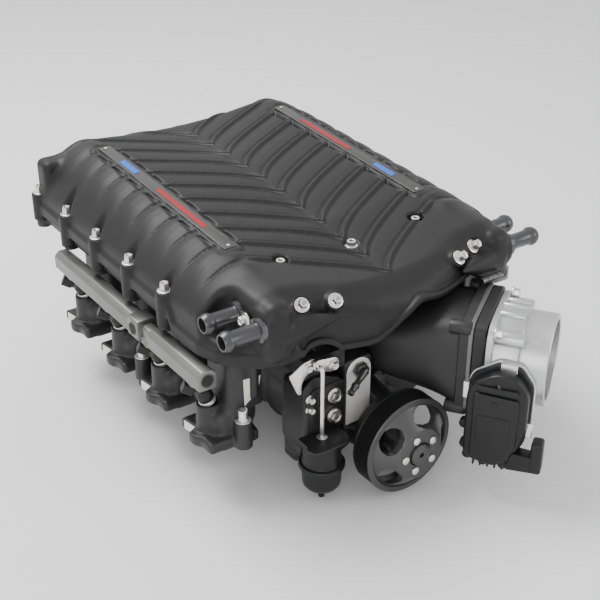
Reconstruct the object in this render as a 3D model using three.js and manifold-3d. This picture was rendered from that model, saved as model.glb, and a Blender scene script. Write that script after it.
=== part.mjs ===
// A twin-screw supercharger with a built-in charge-air cooler for a V8 engine.
// Millimetres, +Z up, +Y towards the rear of the engine, origin at the centre of the
// two cylinder-head flange planes, which lie in Z = 0.
import * as THREE from 'three';
import { mergeVertices } from 'three/addons/utils/BufferGeometryUtils.js';
import Module from 'manifold-3d';

const wasm = await Module();
wasm.setup();

// ---------------------------------------------------------------- driving dimensions
const GAP = 0.3;                       // air between parts that touch
const EPS = 1;                         // overshoot of a cutting tool

const PORT_PITCH = 100;                // spacing of the four ports of one bank
const PORT_Y = [1.5, 0.5, -0.5, -1.5].map((k) => k * PORT_PITCH);
const PORT_X = 180;
const PORT_HALF = { x: 15, y: 27 };
const FOOT = { x: 181, halfX: 33, halfY: 37, height: 14 };
const SIDES = [{ name: 'left', sign: -1 }, { name: 'right', sign: 1 }];

const LID = {
  side: 205, rear: 245, front: -256, bottom: 133, skirtBottom: 117, skirtFrom: -100, skirt: 5.6, seat: 160,
  crestX: 132, wall: 7, noseStart: -198, ledge: 138, ductRoomTop: 142, crestHeight: 211, crestSlope: 0.07,
  valleyHeight: 210, valleySlope: 0.0966, valleyFlatFrom: 100, maxCrest: 221.5,
};
const LID_BOLTS = { x: 203, first: 236, pitch: 81, count: 5, bossRadius: 10.5, bossBottom: 117 };
const GASKET = { top: 132.7, thickness: 1.5 };
const FLANGE = { top: 130.9, thickness: 11.9, inset: 6, frontY: -197.5 };

const MALE = { x: -20, z: -2, outer: 55, root: 30, lobes: 3, twist: 200 };
const FEMALE = { x: 58, z: 22, outer: 50, lobes: 5 };
const ROTOR = { y0: -130, y1: 110, clearance: 1.1, shaft: 14, slices: 10 };
const CHAMBER_GAP = 0.8;
const CASE = { y0: -175, y1: 150, wall: 6, neckTop: 104, neckX0: -78, neckX1: 104 };
const BEARING = { width: 15, maleRadius: 26, femaleRadius: 23 };
const GEAR = { y0: 154, y1: 170, maleTeeth: 18, pitchHeight: 2.4 };
const REAR_COVER = { y0: 150.3, y1: 182, wall: 6, room: 2.6 };

const PULLEY = {
  radius: 58, faceY: -289, backY: -262.5, boltCircle: 20.6, ribs: 6,
  ribPitch: 3.56, bolts: 5, nose: 13.6,
};
const SHAFT = { radius: 10 };
const NOSE = { y1: -175.3, y0: -258, radius: 36, bore: 23.5 };

const THROTTLE = {
  axisDeg: 34.7, mouth: [134.3, -343.2, 80.8], tube: 52, bore: 46, mouthLength: 30,
  bodyLength: 57, flangeEnd: 66, adapterEnd: 80, ductFlangeEnd: 95, half: 57.2,
  bladeAt: 46, bladeRadius: 45.2, shaftRadius: 5,
};
const DUCT = { startY: -175.6, startZ: 79, wall: 7 };

const VENT = { x0: 112, x1: 142, y: -247, z: 143.6, radius: 4.5, bore: 3 };

const RAIL = { x: 210, z: 98, y0: -184, y1: 165, flats: 23, bore: 6 };
const INJECTOR = { footX: 191.6, footZ: 48, topX: 207.5, topZ: 87, bossRadius: 11.5 };

const MOUNT_BOSS = { x: 169.5, y: [-194, 0, 194], radius: 10, height: 34 };
const BARB = { rootX: 165, outer: 10, bore: 7.5, tipX: [215, 213], y: [-223, -183], z: [164, 165] };
const ACTUATOR = { x: -103, y: -240, top: 13, ringZ: -18, bottom: -49, nipple: -65, radius: 22, ring: 26 };
const BYPASS = { x: -84.5, y: -199, z: 98, bore: 16, shaft: 3, arm: 19, restDeg: 14 };
const ROD = { radius: 2.5, bend: 5, plateRadius: 10 };
const BADGE = { x: 132.5, y: 36.5, length: 297.5, width: 16, z: 212, thickness: 2.2 };

// ---------------------------------------------------------------- materials
const material = (color, roughness, metalness) =>
  new THREE.MeshStandardMaterial({ color, roughness, metalness });
const MATERIALS = {
  coatedCasting: material(0x3c3c3d, 0.55, 0.25),
  castAluminium: material(0xb9bab8, 0.42, 0.9),
  railAluminium: material(0x8f908e, 0.4, 0.8),
  darkFitting: material(0x4a4a4c, 0.35, 0.8),
  pulleyCoat: material(0x2c2c2e, 0.4, 0.6),
  brightSteel: material(0xcfcfcc, 0.25, 1.0),
  blackPlastic: material(0x17171a, 0.5, 0.0),
  blackBracket: material(0x1d1d1e, 0.45, 0.5),
  rubber: material(0x111111, 0.8, 0.0),
  badgePlate: material(0x5a5a58, 0.35, 0.8),
  coreAluminium: material(0xa5a7a8, 0.5, 0.8),
};

// ---------------------------------------------------------------- solid helpers
function toSolid(geometry) {
  const bare = new THREE.BufferGeometry();
  bare.setAttribute('position', geometry.getAttribute('position').clone());
  if (geometry.index) bare.setIndex(geometry.index.clone());
  const merged = mergeVertices(bare, 1e-3);
  const position = merged.getAttribute('position');
  const triangles = [];
  let volume = 0;
  const corner = [0, 1, 2].map(() => new THREE.Vector3());
  for (let i = 0; i < merged.index.count; i += 3) {
    const ids = [0, 1, 2].map((k) => merged.index.getX(i + k));
    if (ids[0] === ids[1] || ids[1] === ids[2] || ids[2] === ids[0]) continue;
    ids.forEach((id, k) => corner[k].fromBufferAttribute(position, id));
    volume += corner[0].dot(corner[1].clone().cross(corner[2]));
    triangles.push(...ids);
  }
  if (volume < 0) triangles.reverse();
  return new wasm.Manifold(new wasm.Mesh({
    numProp: 3,
    vertProperties: new Float32Array(position.array),
    triVerts: new Uint32Array(triangles),
  }));
}

function toGeometry(body) {
  const mesh = body.getMesh();
  const geometry = new THREE.BufferGeometry();
  geometry.setAttribute('position', new THREE.BufferAttribute(mesh.vertProperties, 3));
  geometry.setIndex(new THREE.BufferAttribute(mesh.triVerts, 1));
  return geometry;
}

const join = (bodies) => bodies.reduce((sum, body) => sum.add(body));
const cut = (body, tools) => tools.reduce((rest, tool) => rest.subtract(tool), body);

function box(x0, x1, y0, y1, z0, z1) {
  const geometry = new THREE.BoxGeometry(x1 - x0, y1 - y0, z1 - z0);
  geometry.translate((x0 + x1) / 2, (y0 + y1) / 2, (z0 + z1) / 2);
  return toSolid(geometry);
}

// Prism of an outline given in the XY plane, between two heights.
function prismZ(points, z0, z1) {
  const settings = { depth: z1 - z0, bevelEnabled: false };
  const geometry = new THREE.ExtrudeGeometry(new THREE.Shape(points), settings);
  geometry.translate(0, 0, z0);
  return toSolid(geometry);
}

// Prism of an outline given as (x, z) pairs, between two Y stations.
function prismY(points, y0, y1) {
  const settings = { depth: y1 - y0, bevelEnabled: false };
  const geometry = new THREE.ExtrudeGeometry(new THREE.Shape(points), settings);
  geometry.rotateX(Math.PI / 2);
  geometry.translate(0, y1, 0);
  return toSolid(geometry);
}

// Solid of revolution: profile of (radius, distance along the axis), from a start point along a direction.
function turned(profile, start, direction, segments = 20) {
  const geometry = new THREE.LatheGeometry(profile.map(([r, h]) => new THREE.Vector2(r, h)), segments);
  const heading = direction.clone().normalize();
  const turn = new THREE.Quaternion().setFromUnitVectors(new THREE.Vector3(0, 1, 0), heading);
  geometry.applyQuaternion(turn);
  geometry.translate(start.x, start.y, start.z);
  return toSolid(geometry);
}

const point = (x, y, z) => new THREE.Vector3(x, y, z);
const sortPair = (a, b) => [Math.min(a, b), Math.max(a, b)];
const AXIS = { x: point(1, 0, 0), y: point(0, 1, 0), z: point(0, 0, 1) };

function rod(radius, from, to, segments = 16) {
  const length = from.distanceTo(to);
  return turned([[0, 0], [radius, 0], [radius, length], [0, length]], from, to.clone().sub(from), segments);
}

function ring(outer, inner, from, to, segments = 20) {
  const length = from.distanceTo(to);
  const profile = [[inner, 0], [outer, 0], [outer, length], [inner, length], [inner, 0]];
  return turned(profile, from, to.clone().sub(from), segments);
}

// Column of rounded rectangles stacked along Z: each section is {z, x, y, halfX, halfY}.
function column(sections, power = 0.5, segments = 8) {
  const geometry = new THREE.CylinderGeometry(1, 1, 1, segments, sections.length - 1);
  geometry.rotateX(Math.PI / 2);
  const position = geometry.getAttribute('position');
  const soften = (value) => Math.sign(value) * Math.abs(value) ** power;
  for (let i = 0; i < position.count; i++) {
    const level = Math.round((0.5 + position.getZ(i)) * (sections.length - 1));
    const { x, y, z, halfX, halfY } = sections[level];
    position.setXYZ(i, x + halfX * soften(position.getX(i)), y + halfY * soften(position.getY(i)), z);
  }
  return toSolid(geometry);
}

// Rounded rectangle outline about the origin.
function roundedRect(halfU, halfV, radius, steps = 1) {
  const points = [];
  [[1, 1, 0], [-1, 1, 90], [-1, -1, 180], [1, -1, 270]].forEach(([su, sv, start]) => {
    for (let i = 0; i <= steps; i++) {
      const angle = THREE.MathUtils.degToRad(start + (90 * i) / steps);
      points.push(new THREE.Vector2(
        su * (halfU - radius) + radius * Math.cos(angle),
        sv * (halfV - radius) + radius * Math.sin(angle),
      ));
    }
  });
  return points;
}

const assembly = new THREE.Group();
function addPart(name, body, finish) {
  const mesh = new THREE.Mesh(toGeometry(body), MATERIALS[finish]);
  mesh.name = name;
  assembly.add(mesh);
}

// ---------------------------------------------------------------- lid, gasket and cooler
// Plan outline of the lid, set in from its edge; symmetric about X = 0.
function lidOutline(inset, frontY = LID.front) {
  const side = LID.side - inset;
  const rear = LID.rear - inset;
  const front = Math.max(frontY, LID.front) + inset;
  const half = [
    [0, rear], [side - 14, rear], [side - 4, rear - 4], [side, rear - 14],
    [side, -160], [side - 7, -186], [side - 20, -206], [side - 38, -222],
    [146, -230], [111, -226], [76, -240], [37, -252],
  ].map(([x, y]) => [x, Math.max(y, front)]);
  half.push([0, front]);
  const unique = half.filter(([x, y], i) => i === 0 || x !== half[i - 1][0] || y !== half[i - 1][1]);
  const mirrored = unique.slice(1, -1).reverse().map(([x, y]) => [-x, y]);
  return [...unique, ...mirrored].map(([x, y]) => new THREE.Vector2(x, y));
}

// Height of the lid's upper surface: two long crests, a shallow valley and rounded shoulders.
function lidHeight(x, y) {
  const across = Math.min(Math.abs(x) / LID.crestX, 1);
  const blend = across * across * (3 - 2 * across);
  const valley = LID.valleyHeight - LID.valleySlope * Math.max(0, LID.valleyFlatFrom - y);
  const crest = Math.min(LID.crestHeight + LID.crestSlope * (y - BADGE.y), LID.maxCrest);
  const top = valley + (crest - valley) * blend;
  const out = THREE.MathUtils.clamp((Math.abs(x) - LID.crestX) / (LID.side - LID.crestX), 0, 1);
  const shoulder = (top - LID.seat + 8) * (1 - (1 - out ** 1.6) ** (1 / 1.6));
  const ahead = THREE.MathUtils.clamp((-185 - y) / (-185 - LID.front), 0, 1);
  const behind = THREE.MathUtils.clamp((y - LID.rear + 24) / 24, 0, 1);
  return top - shoulder - 40 * ahead ** 2.5 - 22 * (1 - Math.sqrt(1 - behind * behind));
}

function lidBlock(bottom, drop, columns, rows) {
  const geometry = new THREE.BoxGeometry(1, 1, 1, columns, rows, 1);
  const position = geometry.getAttribute('position');
  const [wide, long] = [2 * LID.side + 4, LID.rear - LID.front + 4];
  for (let i = 0; i < position.count; i++) {
    const x = position.getX(i) * wide;
    const y = position.getY(i) * long + (LID.rear + LID.front) / 2;
    const z = position.getZ(i) > 0 ? lidHeight(x, y) - drop : bottom;
    position.setXYZ(i, x, y, z);
  }
  return toSolid(geometry);
}

const lidBoltY = Array.from({ length: LID_BOLTS.count }, (_, k) => LID_BOLTS.first - k * LID_BOLTS.pitch);

function lidBosses(z0, z1, radius, segments = 8) {
  return SIDES.flatMap(({ sign }) => lidBoltY.map((y) =>
    rod(radius, point(sign * LID_BOLTS.x, y, z0), point(sign * LID_BOLTS.x, y, z1), segments)));
}

function makeLid() {
  const low = LID.skirtBottom;
  const outer = lidBlock(low, 0, 14, 14).intersect(prismZ(lidOutline(0), low, 240));
  const underside = [
    box(-230, 230, LID.skirtFrom, 260, low - EPS, LID.bottom),
    prismZ(lidOutline(LID.skirt, LID.noseStart - LID.skirt), low - EPS, LID.bottom),
  ];
  const cavity = lidBlock(90, LID.wall, 10, 7).intersect(prismZ(lidOutline(LID.wall + 5, -190), 90, 240));
  const ductRoom = box(-26, 172, -270, LID.noseStart + EPS, low - EPS, LID.ductRoomTop);
  const rodArch = rod(19, point(-88, -270, 105), point(-88, LID.noseStart, 105), 16);
  const lighten = box(-140, -34, -228, -205, low - EPS, 150);
  const corners = SIDES.map(({ sign }) => {
    return box(...sortPair(sign * BARB.rootX, sign * 230), -270, -160, LID.ledge, 240);
  });
  const hollow = cut(outer, [...underside, cavity, ductRoom, rodArch, lighten, ...corners]);
  const bosses = lidBosses(LID.bottom, LID.seat, LID_BOLTS.bossRadius);
  const seats = lidBosses(LID.seat, 240, LID_BOLTS.bossRadius);
  const ports = SIDES.flatMap(({ sign }) => [0, 1].map((i) => {
    const [start, end] = [BARB.rootX - 12, 200].map((x) => point(sign * x, BARB.y[i], BARB.z[i]));
    return rod(BARB.bore, start, end, 10);
  }));
  return cut(join([cut(hollow, seats), ...bosses]), [...ports, ...badgePads(GAP)]);
}

// Flat pads under the two name-plate strips.
function badgeBlock(side, grow, z0, z1) {
  const [halfX, halfY] = [BADGE.width / 2 + grow, BADGE.length / 2 + grow];
  const geometry = new THREE.BoxGeometry(2 * halfX, 2 * halfY, z1 - z0);
  geometry.translate(0, 0, (z0 + z1) / 2);
  geometry.rotateX(Math.atan(LID.crestSlope));
  geometry.translate(side.sign * BADGE.x, BADGE.y, BADGE.z);
  return toSolid(geometry);
}

const badgePads = (gap) => SIDES.map((side) => badgeBlock(side, 1, -BADGE.thickness - gap, 30));


function makeGasket() {
  const bottom = GASKET.top - GASKET.thickness;
  const sheet = prismZ(lidOutline(FLANGE.inset, FLANGE.frontY - FLANGE.inset), bottom, GASKET.top);
  const window = prismZ(lidOutline(11.5, -186), bottom - EPS, GASKET.top + EPS);
  return cut(sheet, [window]);
}

// Charge-air cooler core: a finned block between two header tanks.
function makeCore() {
  const core = box(-128, 128, -150, 205, 135, 176);
  const tanks = [box(-128, 128, -172, -150, 133.5, 174), box(-128, 128, 205, 220, 133.5, 178)];
  const slots = Array.from({ length: 7 }, (_, i) => {
    const x = 34 * i - 112;
    return box(x - 5, x + 5, -140, 195, 120, 190);
  });
  return cut(join([core, ...tanks]), slots);
}

// ---------------------------------------------------------------- intake manifold
function runner(sign, y, grow, z0, z1) {
  const sections = [
    { z: z0, x: PORT_X, halfX: PORT_HALF.x, halfY: PORT_HALF.y },
    { z: 50, x: PORT_X - 18, halfX: PORT_HALF.x - 1, halfY: PORT_HALF.y - 4 },
    { z: z1, x: PORT_X - 20, halfX: PORT_HALF.x, halfY: PORT_HALF.y + 2 },
  ];
  return column(sections.map((s) => ({
    ...s, x: sign * s.x, y, halfX: s.halfX + grow, halfY: s.halfY + grow,
  })), 0.6);
}

const injectorAxis = (sign) =>
  point(sign * (INJECTOR.topX - INJECTOR.footX), 0, INJECTOR.topZ - INJECTOR.footZ).normalize();
const injectorFoot = (sign, y) => point(sign * INJECTOR.footX, y, INJECTOR.footZ);
const along = (start, direction, distance) => start.clone().addScaledVector(direction, distance);

function portFoot(sign, y) {
  const centre = new THREE.Vector2(sign * FOOT.x, y);
  const outline = roundedRect(FOOT.halfX, FOOT.halfY, 14).map((p) => p.clone().add(centre));
  return prismZ(outline, 0, FOOT.height);
}

function mountBoss(sign, y) {
  const x = sign * MOUNT_BOSS.x;
  return rod(MOUNT_BOSS.radius, point(x, y, 0), point(x, y, MOUNT_BOSS.height), 8);
}

function makeManifold() {
  const flangeBottom = FLANGE.top - FLANGE.thickness;
  const plate = prismZ(lidOutline(FLANGE.inset, FLANGE.frontY - FLANGE.inset), flangeBottom, FLANGE.top);
  const opening = box(CASE.neckX0 - 30, CASE.neckX1 + 6, -178, 165, flangeBottom - EPS, FLANGE.top + EPS);
  const solids = [cut(plate, [opening]), ...lidBosses(LID_BOLTS.bossBottom, FLANGE.top, 10)];
  const tools = [];
  SIDES.forEach(({ sign }) => {
    solids.push(box(...sortPair(sign * 150, sign * 168), -186, 186, 0, FOOT.height - 2));
    PORT_Y.forEach((y) => {
      const foot = injectorFoot(sign, y);
      const axis = injectorAxis(sign);
      solids.push(portFoot(sign, y), runner(sign, y, 5, 2, FLANGE.top - 2));
      solids.push(rod(INJECTOR.bossRadius, along(foot, axis, -38), foot, 8));
      tools.push(runner(sign, y, 0, -EPS, FLANGE.top + EPS));
      tools.push(rod(7.4, along(foot, axis, -22), along(foot, axis, EPS), 8));
    });
    MOUNT_BOSS.y.forEach((y) => solids.push(mountBoss(sign, y)));
  });
  return cut(join(solids), tools);
}

// ---------------------------------------------------------------- rotor case and covers
function chambers(grow, y0, y1, segments = 24) {
  const [maleR, femaleR] = [MALE.outer, FEMALE.outer].map((outer) => outer + CHAMBER_GAP + grow);
  return join([
    rod(maleR, point(MALE.x, y0, MALE.z), point(MALE.x, y1, MALE.z), segments),
    rod(femaleR, point(FEMALE.x, y0, FEMALE.z), point(FEMALE.x, y1, FEMALE.z), segments),
  ]);
}

const BEARINGS = [
  { name: 'male_front_bearing', axis: MALE, radius: BEARING.maleRadius, y: -158 },
  { name: 'male_rear_bearing', axis: MALE, radius: BEARING.maleRadius, y: 124 },
  { name: 'female_front_bearing', axis: FEMALE, radius: BEARING.femaleRadius, y: -158 },
  { name: 'female_rear_bearing', axis: FEMALE, radius: BEARING.femaleRadius, y: 124 },
];
const shaftAxes = [
  { x: MALE.x, z: MALE.z, radius: BEARING.maleRadius },
  { x: FEMALE.x, z: FEMALE.z, radius: BEARING.femaleRadius },
];

function makeCase() {
  const shell = join([
    chambers(CASE.wall, CASE.y0, CASE.y1),
    box(CASE.neckX0, CASE.neckX1, CASE.y0, CASE.y1, 20, CASE.neckTop),
  ]);
  const tools = [
    chambers(0, ROTOR.y0 - 1.2, ROTOR.y1 + 1.2),
    box(-60, 90, -45, 100, 45, CASE.neckTop + EPS),          // discharge opening into the plenum
    box(-4, 88, CASE.y0 - EPS, -62, 61, 96),                 // inlet passage above the rotors
    box(-50, 92, -128, -62, 30, 96),
  ];
  shaftAxes.forEach(({ x, z, radius }) => {
    tools.push(rod(radius, point(x, CASE.y0 - EPS, z), point(x, ROTOR.y0 - 12, z), 24));
    tools.push(rod(radius, point(x, ROTOR.y1 + 12, z), point(x, CASE.y1 + EPS, z), 24));
    tools.push(rod(ROTOR.shaft + 2, point(x, CASE.y0, z), point(x, CASE.y1, z), 20));
  });
  return cut(shell, tools);
}

function makeFrontCover() {
  const plateY = NOSE.y1 - 10;
  const axis = (y) => point(MALE.x, y, MALE.z);
  const solids = [
    rod(50, axis(plateY), axis(NOSE.y1), 28),
    rod(30, point(FEMALE.x, plateY, FEMALE.z), point(FEMALE.x, NOSE.y1, FEMALE.z), 24),
    rod(NOSE.radius, axis(NOSE.y0), axis(plateY + EPS), 28),
    box(-116, -62, -227.7, plateY + 5, 14, 70),              // pad behind the actuator bracket
    box(-60, -24, -225, plateY + 5, -6, 86),                 // machined pad beside the inlet
    box(-80, -30, plateY, NOSE.y1, -30, 80),
    box(10, 50, plateY, NOSE.y1, -18, 34),                   // web between the two bearing seats
  ];
  const tools = [
    rod(NOSE.bore, axis(NOSE.y0 - EPS), axis(NOSE.y1 + EPS), 28),
    rod(24, point(FEMALE.x, plateY + 4, FEMALE.z), point(FEMALE.x, NOSE.y1 + EPS, FEMALE.z), 24),
    box(-106, -72, -216, -180, 24, 90),                      // relief behind the pad
  ];
  return cut(join(solids), tools);
}

function makeRearCover() {
  const grow = REAR_COVER.wall + REAR_COVER.room;
  const hollow = chambers(REAR_COVER.room, REAR_COVER.y0 - EPS, REAR_COVER.y1 - REAR_COVER.wall, 28);
  return cut(chambers(grow, REAR_COVER.y0, REAR_COVER.y1, 28), [hollow]);
}

// ---------------------------------------------------------------- rotors and timing gears
// Outline radius of a toothed wheel: rounded lobes between the root and the outer circle.
function lobeRadius(root, outer, count, sharpness) {
  return (angle) => {
    const wave = 0.5 + 0.5 * Math.cos(count * angle);
    return root + (outer - root) * wave ** sharpness;
  };
}

// Outline of the wheel that meshes with a driving wheel on the line of centres: what the driver
// leaves free as both turn, less a clearance, and never beyond the follower's own outer circle.
function conjugateRadius(driver, driverOuter, distance, counts, outer, samples) {
  const ratio = counts.driver / counts.follower;
  const pitch = (2 * Math.PI) / counts.follower;
  const range = (2 * Math.PI) / 3;
  const turns = Array.from({ length: 481 }, (_, k) => (k / 240 - 1) * range);
  const step = outer * 0.005;
  const freeAt = (angle) => {
    let free = outer;
    turns.forEach((turn) => {
      const heading = angle + turn * ratio;
      if (Math.cos(heading) > -0.5) return;
      for (let r = outer * 0.3; r < free; r += step) {
        const [x, y] = [r * Math.cos(heading) + distance, r * Math.sin(heading)];
        const reach = Math.hypot(x, y);
        if (reach > driverOuter) continue;
        if (reach < driver(Math.atan2(y, x) + turn)) free = r;
      }
    });
    return free;
  };
  const halfStep = Math.PI / samples;
  const table = new Map();
  return (angle) => {
    const folded = angle - pitch * Math.round((angle - Math.PI) / pitch);
    const key = folded.toFixed(5);
    if (!table.has(key)) {
      const near = [-1, -0.5, 0, 0.5, 1].map((k) => freeAt(folded + k * halfStep));
      table.set(key, Math.min(...near));
    }
    return table.get(key);
  };
}

// Wheel outline as a (twisted) prism about its own axis along Y.
function wheel(outlineRadius, points, axis, y0, y1, twistDeg = 0, slices = 1) {
  const outline = Array.from({ length: points }, (_, i) => {
    const angle = (2 * Math.PI * i) / points;
    const radius = outlineRadius(angle);
    const world = angle + CENTRE_ANGLE;
    return new THREE.Vector2(Math.cos(world), Math.sin(world)).multiplyScalar(radius);
  });
  const geometry = new THREE.ExtrudeGeometry(new THREE.Shape(outline), {
    depth: y1 - y0, bevelEnabled: false, steps: slices,
  });
  const position = geometry.getAttribute('position');
  for (let i = 0; i < position.count; i++) {
    const angle = THREE.MathUtils.degToRad(twistDeg) * (position.getZ(i) / (y1 - y0));
    const [x, y] = [position.getX(i), position.getY(i)];
    position.setXY(i, x * Math.cos(angle) - y * Math.sin(angle), x * Math.sin(angle) + y * Math.cos(angle));
  }
  geometry.rotateX(Math.PI / 2);
  geometry.translate(axis.x, y1, axis.z);
  return toSolid(geometry);
}

const CENTRE_DISTANCE = Math.hypot(FEMALE.x - MALE.x, FEMALE.z - MALE.z);
const CENTRE_ANGLE = Math.atan2(FEMALE.z - MALE.z, FEMALE.x - MALE.x);
const LOBES = { driver: MALE.lobes, follower: FEMALE.lobes };

const shaftPart = (axis, radius, y0, y1, segments = 16) =>
  rod(radius, point(axis.x, y0, axis.z), point(axis.x, y1, axis.z), segments);

function makeMaleRotor() {
  const radius = lobeRadius(MALE.root, MALE.outer, MALE.lobes, 0.75);
  return join([
    wheel(radius, 30, MALE, ROTOR.y0, ROTOR.y1, MALE.twist, ROTOR.slices),
    shaftPart(MALE, ROTOR.shaft, CASE.y0 + 2, GEAR.y1 + 4),
  ]);
}

function makeFemaleRotor() {
  const samples = 40;
  const driver = lobeRadius(MALE.root + ROTOR.clearance, MALE.outer + ROTOR.clearance, MALE.lobes, 0.75);
  const reach = MALE.outer + ROTOR.clearance;
  const radius = conjugateRadius(driver, reach, CENTRE_DISTANCE, LOBES, FEMALE.outer, samples);
  const twist = -MALE.twist * (MALE.lobes / FEMALE.lobes);
  return join([
    wheel(radius, samples, FEMALE, ROTOR.y0, ROTOR.y1, twist, ROTOR.slices),
    shaftPart(FEMALE, ROTOR.shaft, CASE.y0 + 2, GEAR.y1 + 4),
  ]);
}

const TEETH = { driver: GEAR.maleTeeth, follower: (GEAR.maleTeeth * FEMALE.lobes) / MALE.lobes };
const PITCH_RADIUS = (CENTRE_DISTANCE * MALE.lobes) / (MALE.lobes + FEMALE.lobes);

function makeTimingGears() {
  const [root, tip] = [PITCH_RADIUS - GEAR.pitchHeight, PITCH_RADIUS + GEAR.pitchHeight];
  const driver = lobeRadius(root, tip, TEETH.driver, 0.8);
  const grown = lobeRadius(root + 0.5, tip + 0.5, TEETH.driver, 0.8);
  const samples = TEETH.follower * 4;
  const outer = CENTRE_DISTANCE - root - 0.8;
  const follower = conjugateRadius(grown, tip + 0.5, CENTRE_DISTANCE, TEETH, outer, samples);
  const bore = (axis) => shaftPart(axis, ROTOR.shaft + GAP, GEAR.y0 - EPS, GEAR.y1 + EPS);
  return {
    male: cut(wheel(driver, TEETH.driver * 4, MALE, GEAR.y0, GEAR.y1), [bore(MALE)]),
    female: cut(wheel(follower, samples, FEMALE, GEAR.y0, GEAR.y1), [bore(FEMALE)]),
  };
}

function makeRotorBearing(axis, radius, y0) {
  const end = point(axis.x, y0 + BEARING.width, axis.z);
  return ring(radius - GAP, ROTOR.shaft + GAP, point(axis.x, y0, axis.z), end);
}

// ---------------------------------------------------------------- drive
const driveAxis = (y) => point(MALE.x, y, MALE.z);

function boltCircle(tool) {
  return Array.from({ length: PULLEY.bolts }, (_, i) => {
    const angle = Math.PI + (2 * Math.PI * i) / PULLEY.bolts;
    return tool(MALE.x + PULLEY.boltCircle * Math.cos(angle), MALE.z + PULLEY.boltCircle * Math.sin(angle));
  });
}

function makePulley() {
  const { radius, faceY, backY, ribs, ribPitch, nose } = PULLEY;
  const width = backY - faceY;
  const firstRib = (width - ribs * ribPitch) / 2;
  const profile = [[nose, -18], [29, -18], [32, -16], [45, 2], [49, 0], [radius, 0], [radius, firstRib]];
  for (let i = 0; i < ribs; i++) {
    const at = firstRib + i * ribPitch;
    profile.push([radius - 2.8, at + ribPitch / 2], [radius, at + ribPitch]);
  }
  profile.push([radius, width], [53, width], [52, 10], [46, 8], [30, -9], [nose, -9], [nose, -18]);
  const body = turned(profile, driveAxis(faceY), AXIS.y, 20);
  const windows = Array.from({ length: 5 }, (_, i) => {
    const angle = ((36 + 72 * i) * Math.PI) / 180;
    const [x, z] = [MALE.x + 39 * Math.cos(angle), MALE.z + 39 * Math.sin(angle)];
    return rod(6, point(x, faceY - 30, z), point(x, faceY + 40, z), 8);
  });
  const boltHoles = boltCircle((x, z) => rod(3.4, point(x, faceY - 30, z), point(x, faceY, z), 8));
  return cut(body, [...windows, ...boltHoles]);
}

function makePulleyHub() {
  const profile = [
    [0, -20], [9, -22], [13.2, -20], [13.2, -8.7], [26.5, -8.7], [26.5, -2], [18, -2], [18, 24],
    [SHAFT.radius + GAP, 24], [SHAFT.radius + GAP, -5], [0, -5],
  ];
  const body = turned(profile, driveAxis(PULLEY.faceY), AXIS.y, 20);
  const holes = boltCircle((x, z) => rod(3, point(x, PULLEY.faceY - 30, z), point(x, PULLEY.faceY, z), 6));
  return cut(body, holes);
}

function makeInputShaft() {
  const [front, step, rear] = [PULLEY.faceY - 4.5, -196, -178.3];
  const profile = [
    [0, 0], [SHAFT.radius, 0], [SHAFT.radius, step - front], [ROTOR.shaft, step - front],
    [ROTOR.shaft, rear - front], [0, rear - front],
  ];
  return turned(profile, driveAxis(front), AXIS.y, 20);
}

const noseRing = (y0, y1) => ring(NOSE.bore - GAP, SHAFT.radius + GAP, driveAxis(y0), driveAxis(y1));

// ---------------------------------------------------------------- throttle and inlet
// Throttle frame: u across (towards the motor side), w up, s inwards from the mouth.
const throttleAngle = THREE.MathUtils.degToRad(THROTTLE.axisDeg);
const outward = point(Math.sin(throttleAngle), -Math.cos(throttleAngle), 0);
const across = point(-Math.cos(throttleAngle), -Math.sin(throttleAngle), 0);
const throttleMatrix = new THREE.Matrix4()
  .makeBasis(across, AXIS.z, outward.clone().negate())
  .setPosition(...THROTTLE.mouth);
const atThrottle = (u, w, s) => point(u, w, s).applyMatrix4(throttleMatrix);

function throttlePrism(points, s0, s1) {
  const settings = { depth: s1 - s0, bevelEnabled: false };
  const geometry = new THREE.ExtrudeGeometry(new THREE.Shape(points), settings);
  geometry.translate(0, 0, s0);
  return toSolid(geometry.applyMatrix4(throttleMatrix));
}

// Prism of an outline given as (s, w) pairs, between two distances u from the bore axis.
function sidePrism(points, u0, u1) {
  const outline = points.map(([s, w]) => new THREE.Vector2(-s, w));
  const settings = { depth: u1 - u0, bevelEnabled: false };
  const geometry = new THREE.ExtrudeGeometry(new THREE.Shape(outline), settings);
  geometry.translate(0, 0, u0);
  geometry.rotateY(Math.PI / 2);
  return toSolid(geometry.applyMatrix4(throttleMatrix));
}

const throttleRod = (radius, s0, s1, segments = 24) =>
  rod(radius, atThrottle(0, 0, s0), atThrottle(0, 0, s1), segments);
const crossRod = (radius, u0, u1, w, s, segments = 16) =>
  rod(radius, atThrottle(u0, w, s), atThrottle(u1, w, s), segments);

const MOTOR = { w: -72, s: 44, radius: 17, u0: 6 };
const COVER = { u0: 57.8, u1: 84, wall: 3 };

function makeThrottleBody() {
  const { tube, bore, mouthLength, bodyLength, flangeEnd, half, bladeAt, shaftRadius } = THROTTLE;
  const solids = [
    throttleRod(tube, 0, mouthLength),
    throttleRod(tube + 4, mouthLength - 2, bodyLength + EPS),
    throttlePrism(roundedRect(half, half, 16, 3), bodyLength, flangeEnd),
    crossRod(15, 40, COVER.u0 - GAP, 0, bladeAt),
    crossRod(11, -64, -40, 0, bladeAt),
    crossRod(MOTOR.radius + 4, MOTOR.u0, COVER.u0 - GAP, MOTOR.w, MOTOR.s, 20),
    sidePrism([[62, -84], [62, -30], [28, -30], [28, -84]], 30, 50),
  ];
  return cut(join(solids), [
    throttleRod(bore, -EPS, flangeEnd + EPS),
    crossRod(shaftRadius + GAP, -60, 70, 0, bladeAt),
    crossRod(MOTOR.radius + GAP, MOTOR.u0 + 4, 70, MOTOR.w, MOTOR.s, 20),
  ]);
}

const COVER_OUTLINE = [
  [48, 21], [75, 4], [80, -10], [80, -92], [71, -100], [40, -106], [16, -78], [9, -47], [9, -2], [24, 19],
];

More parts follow.
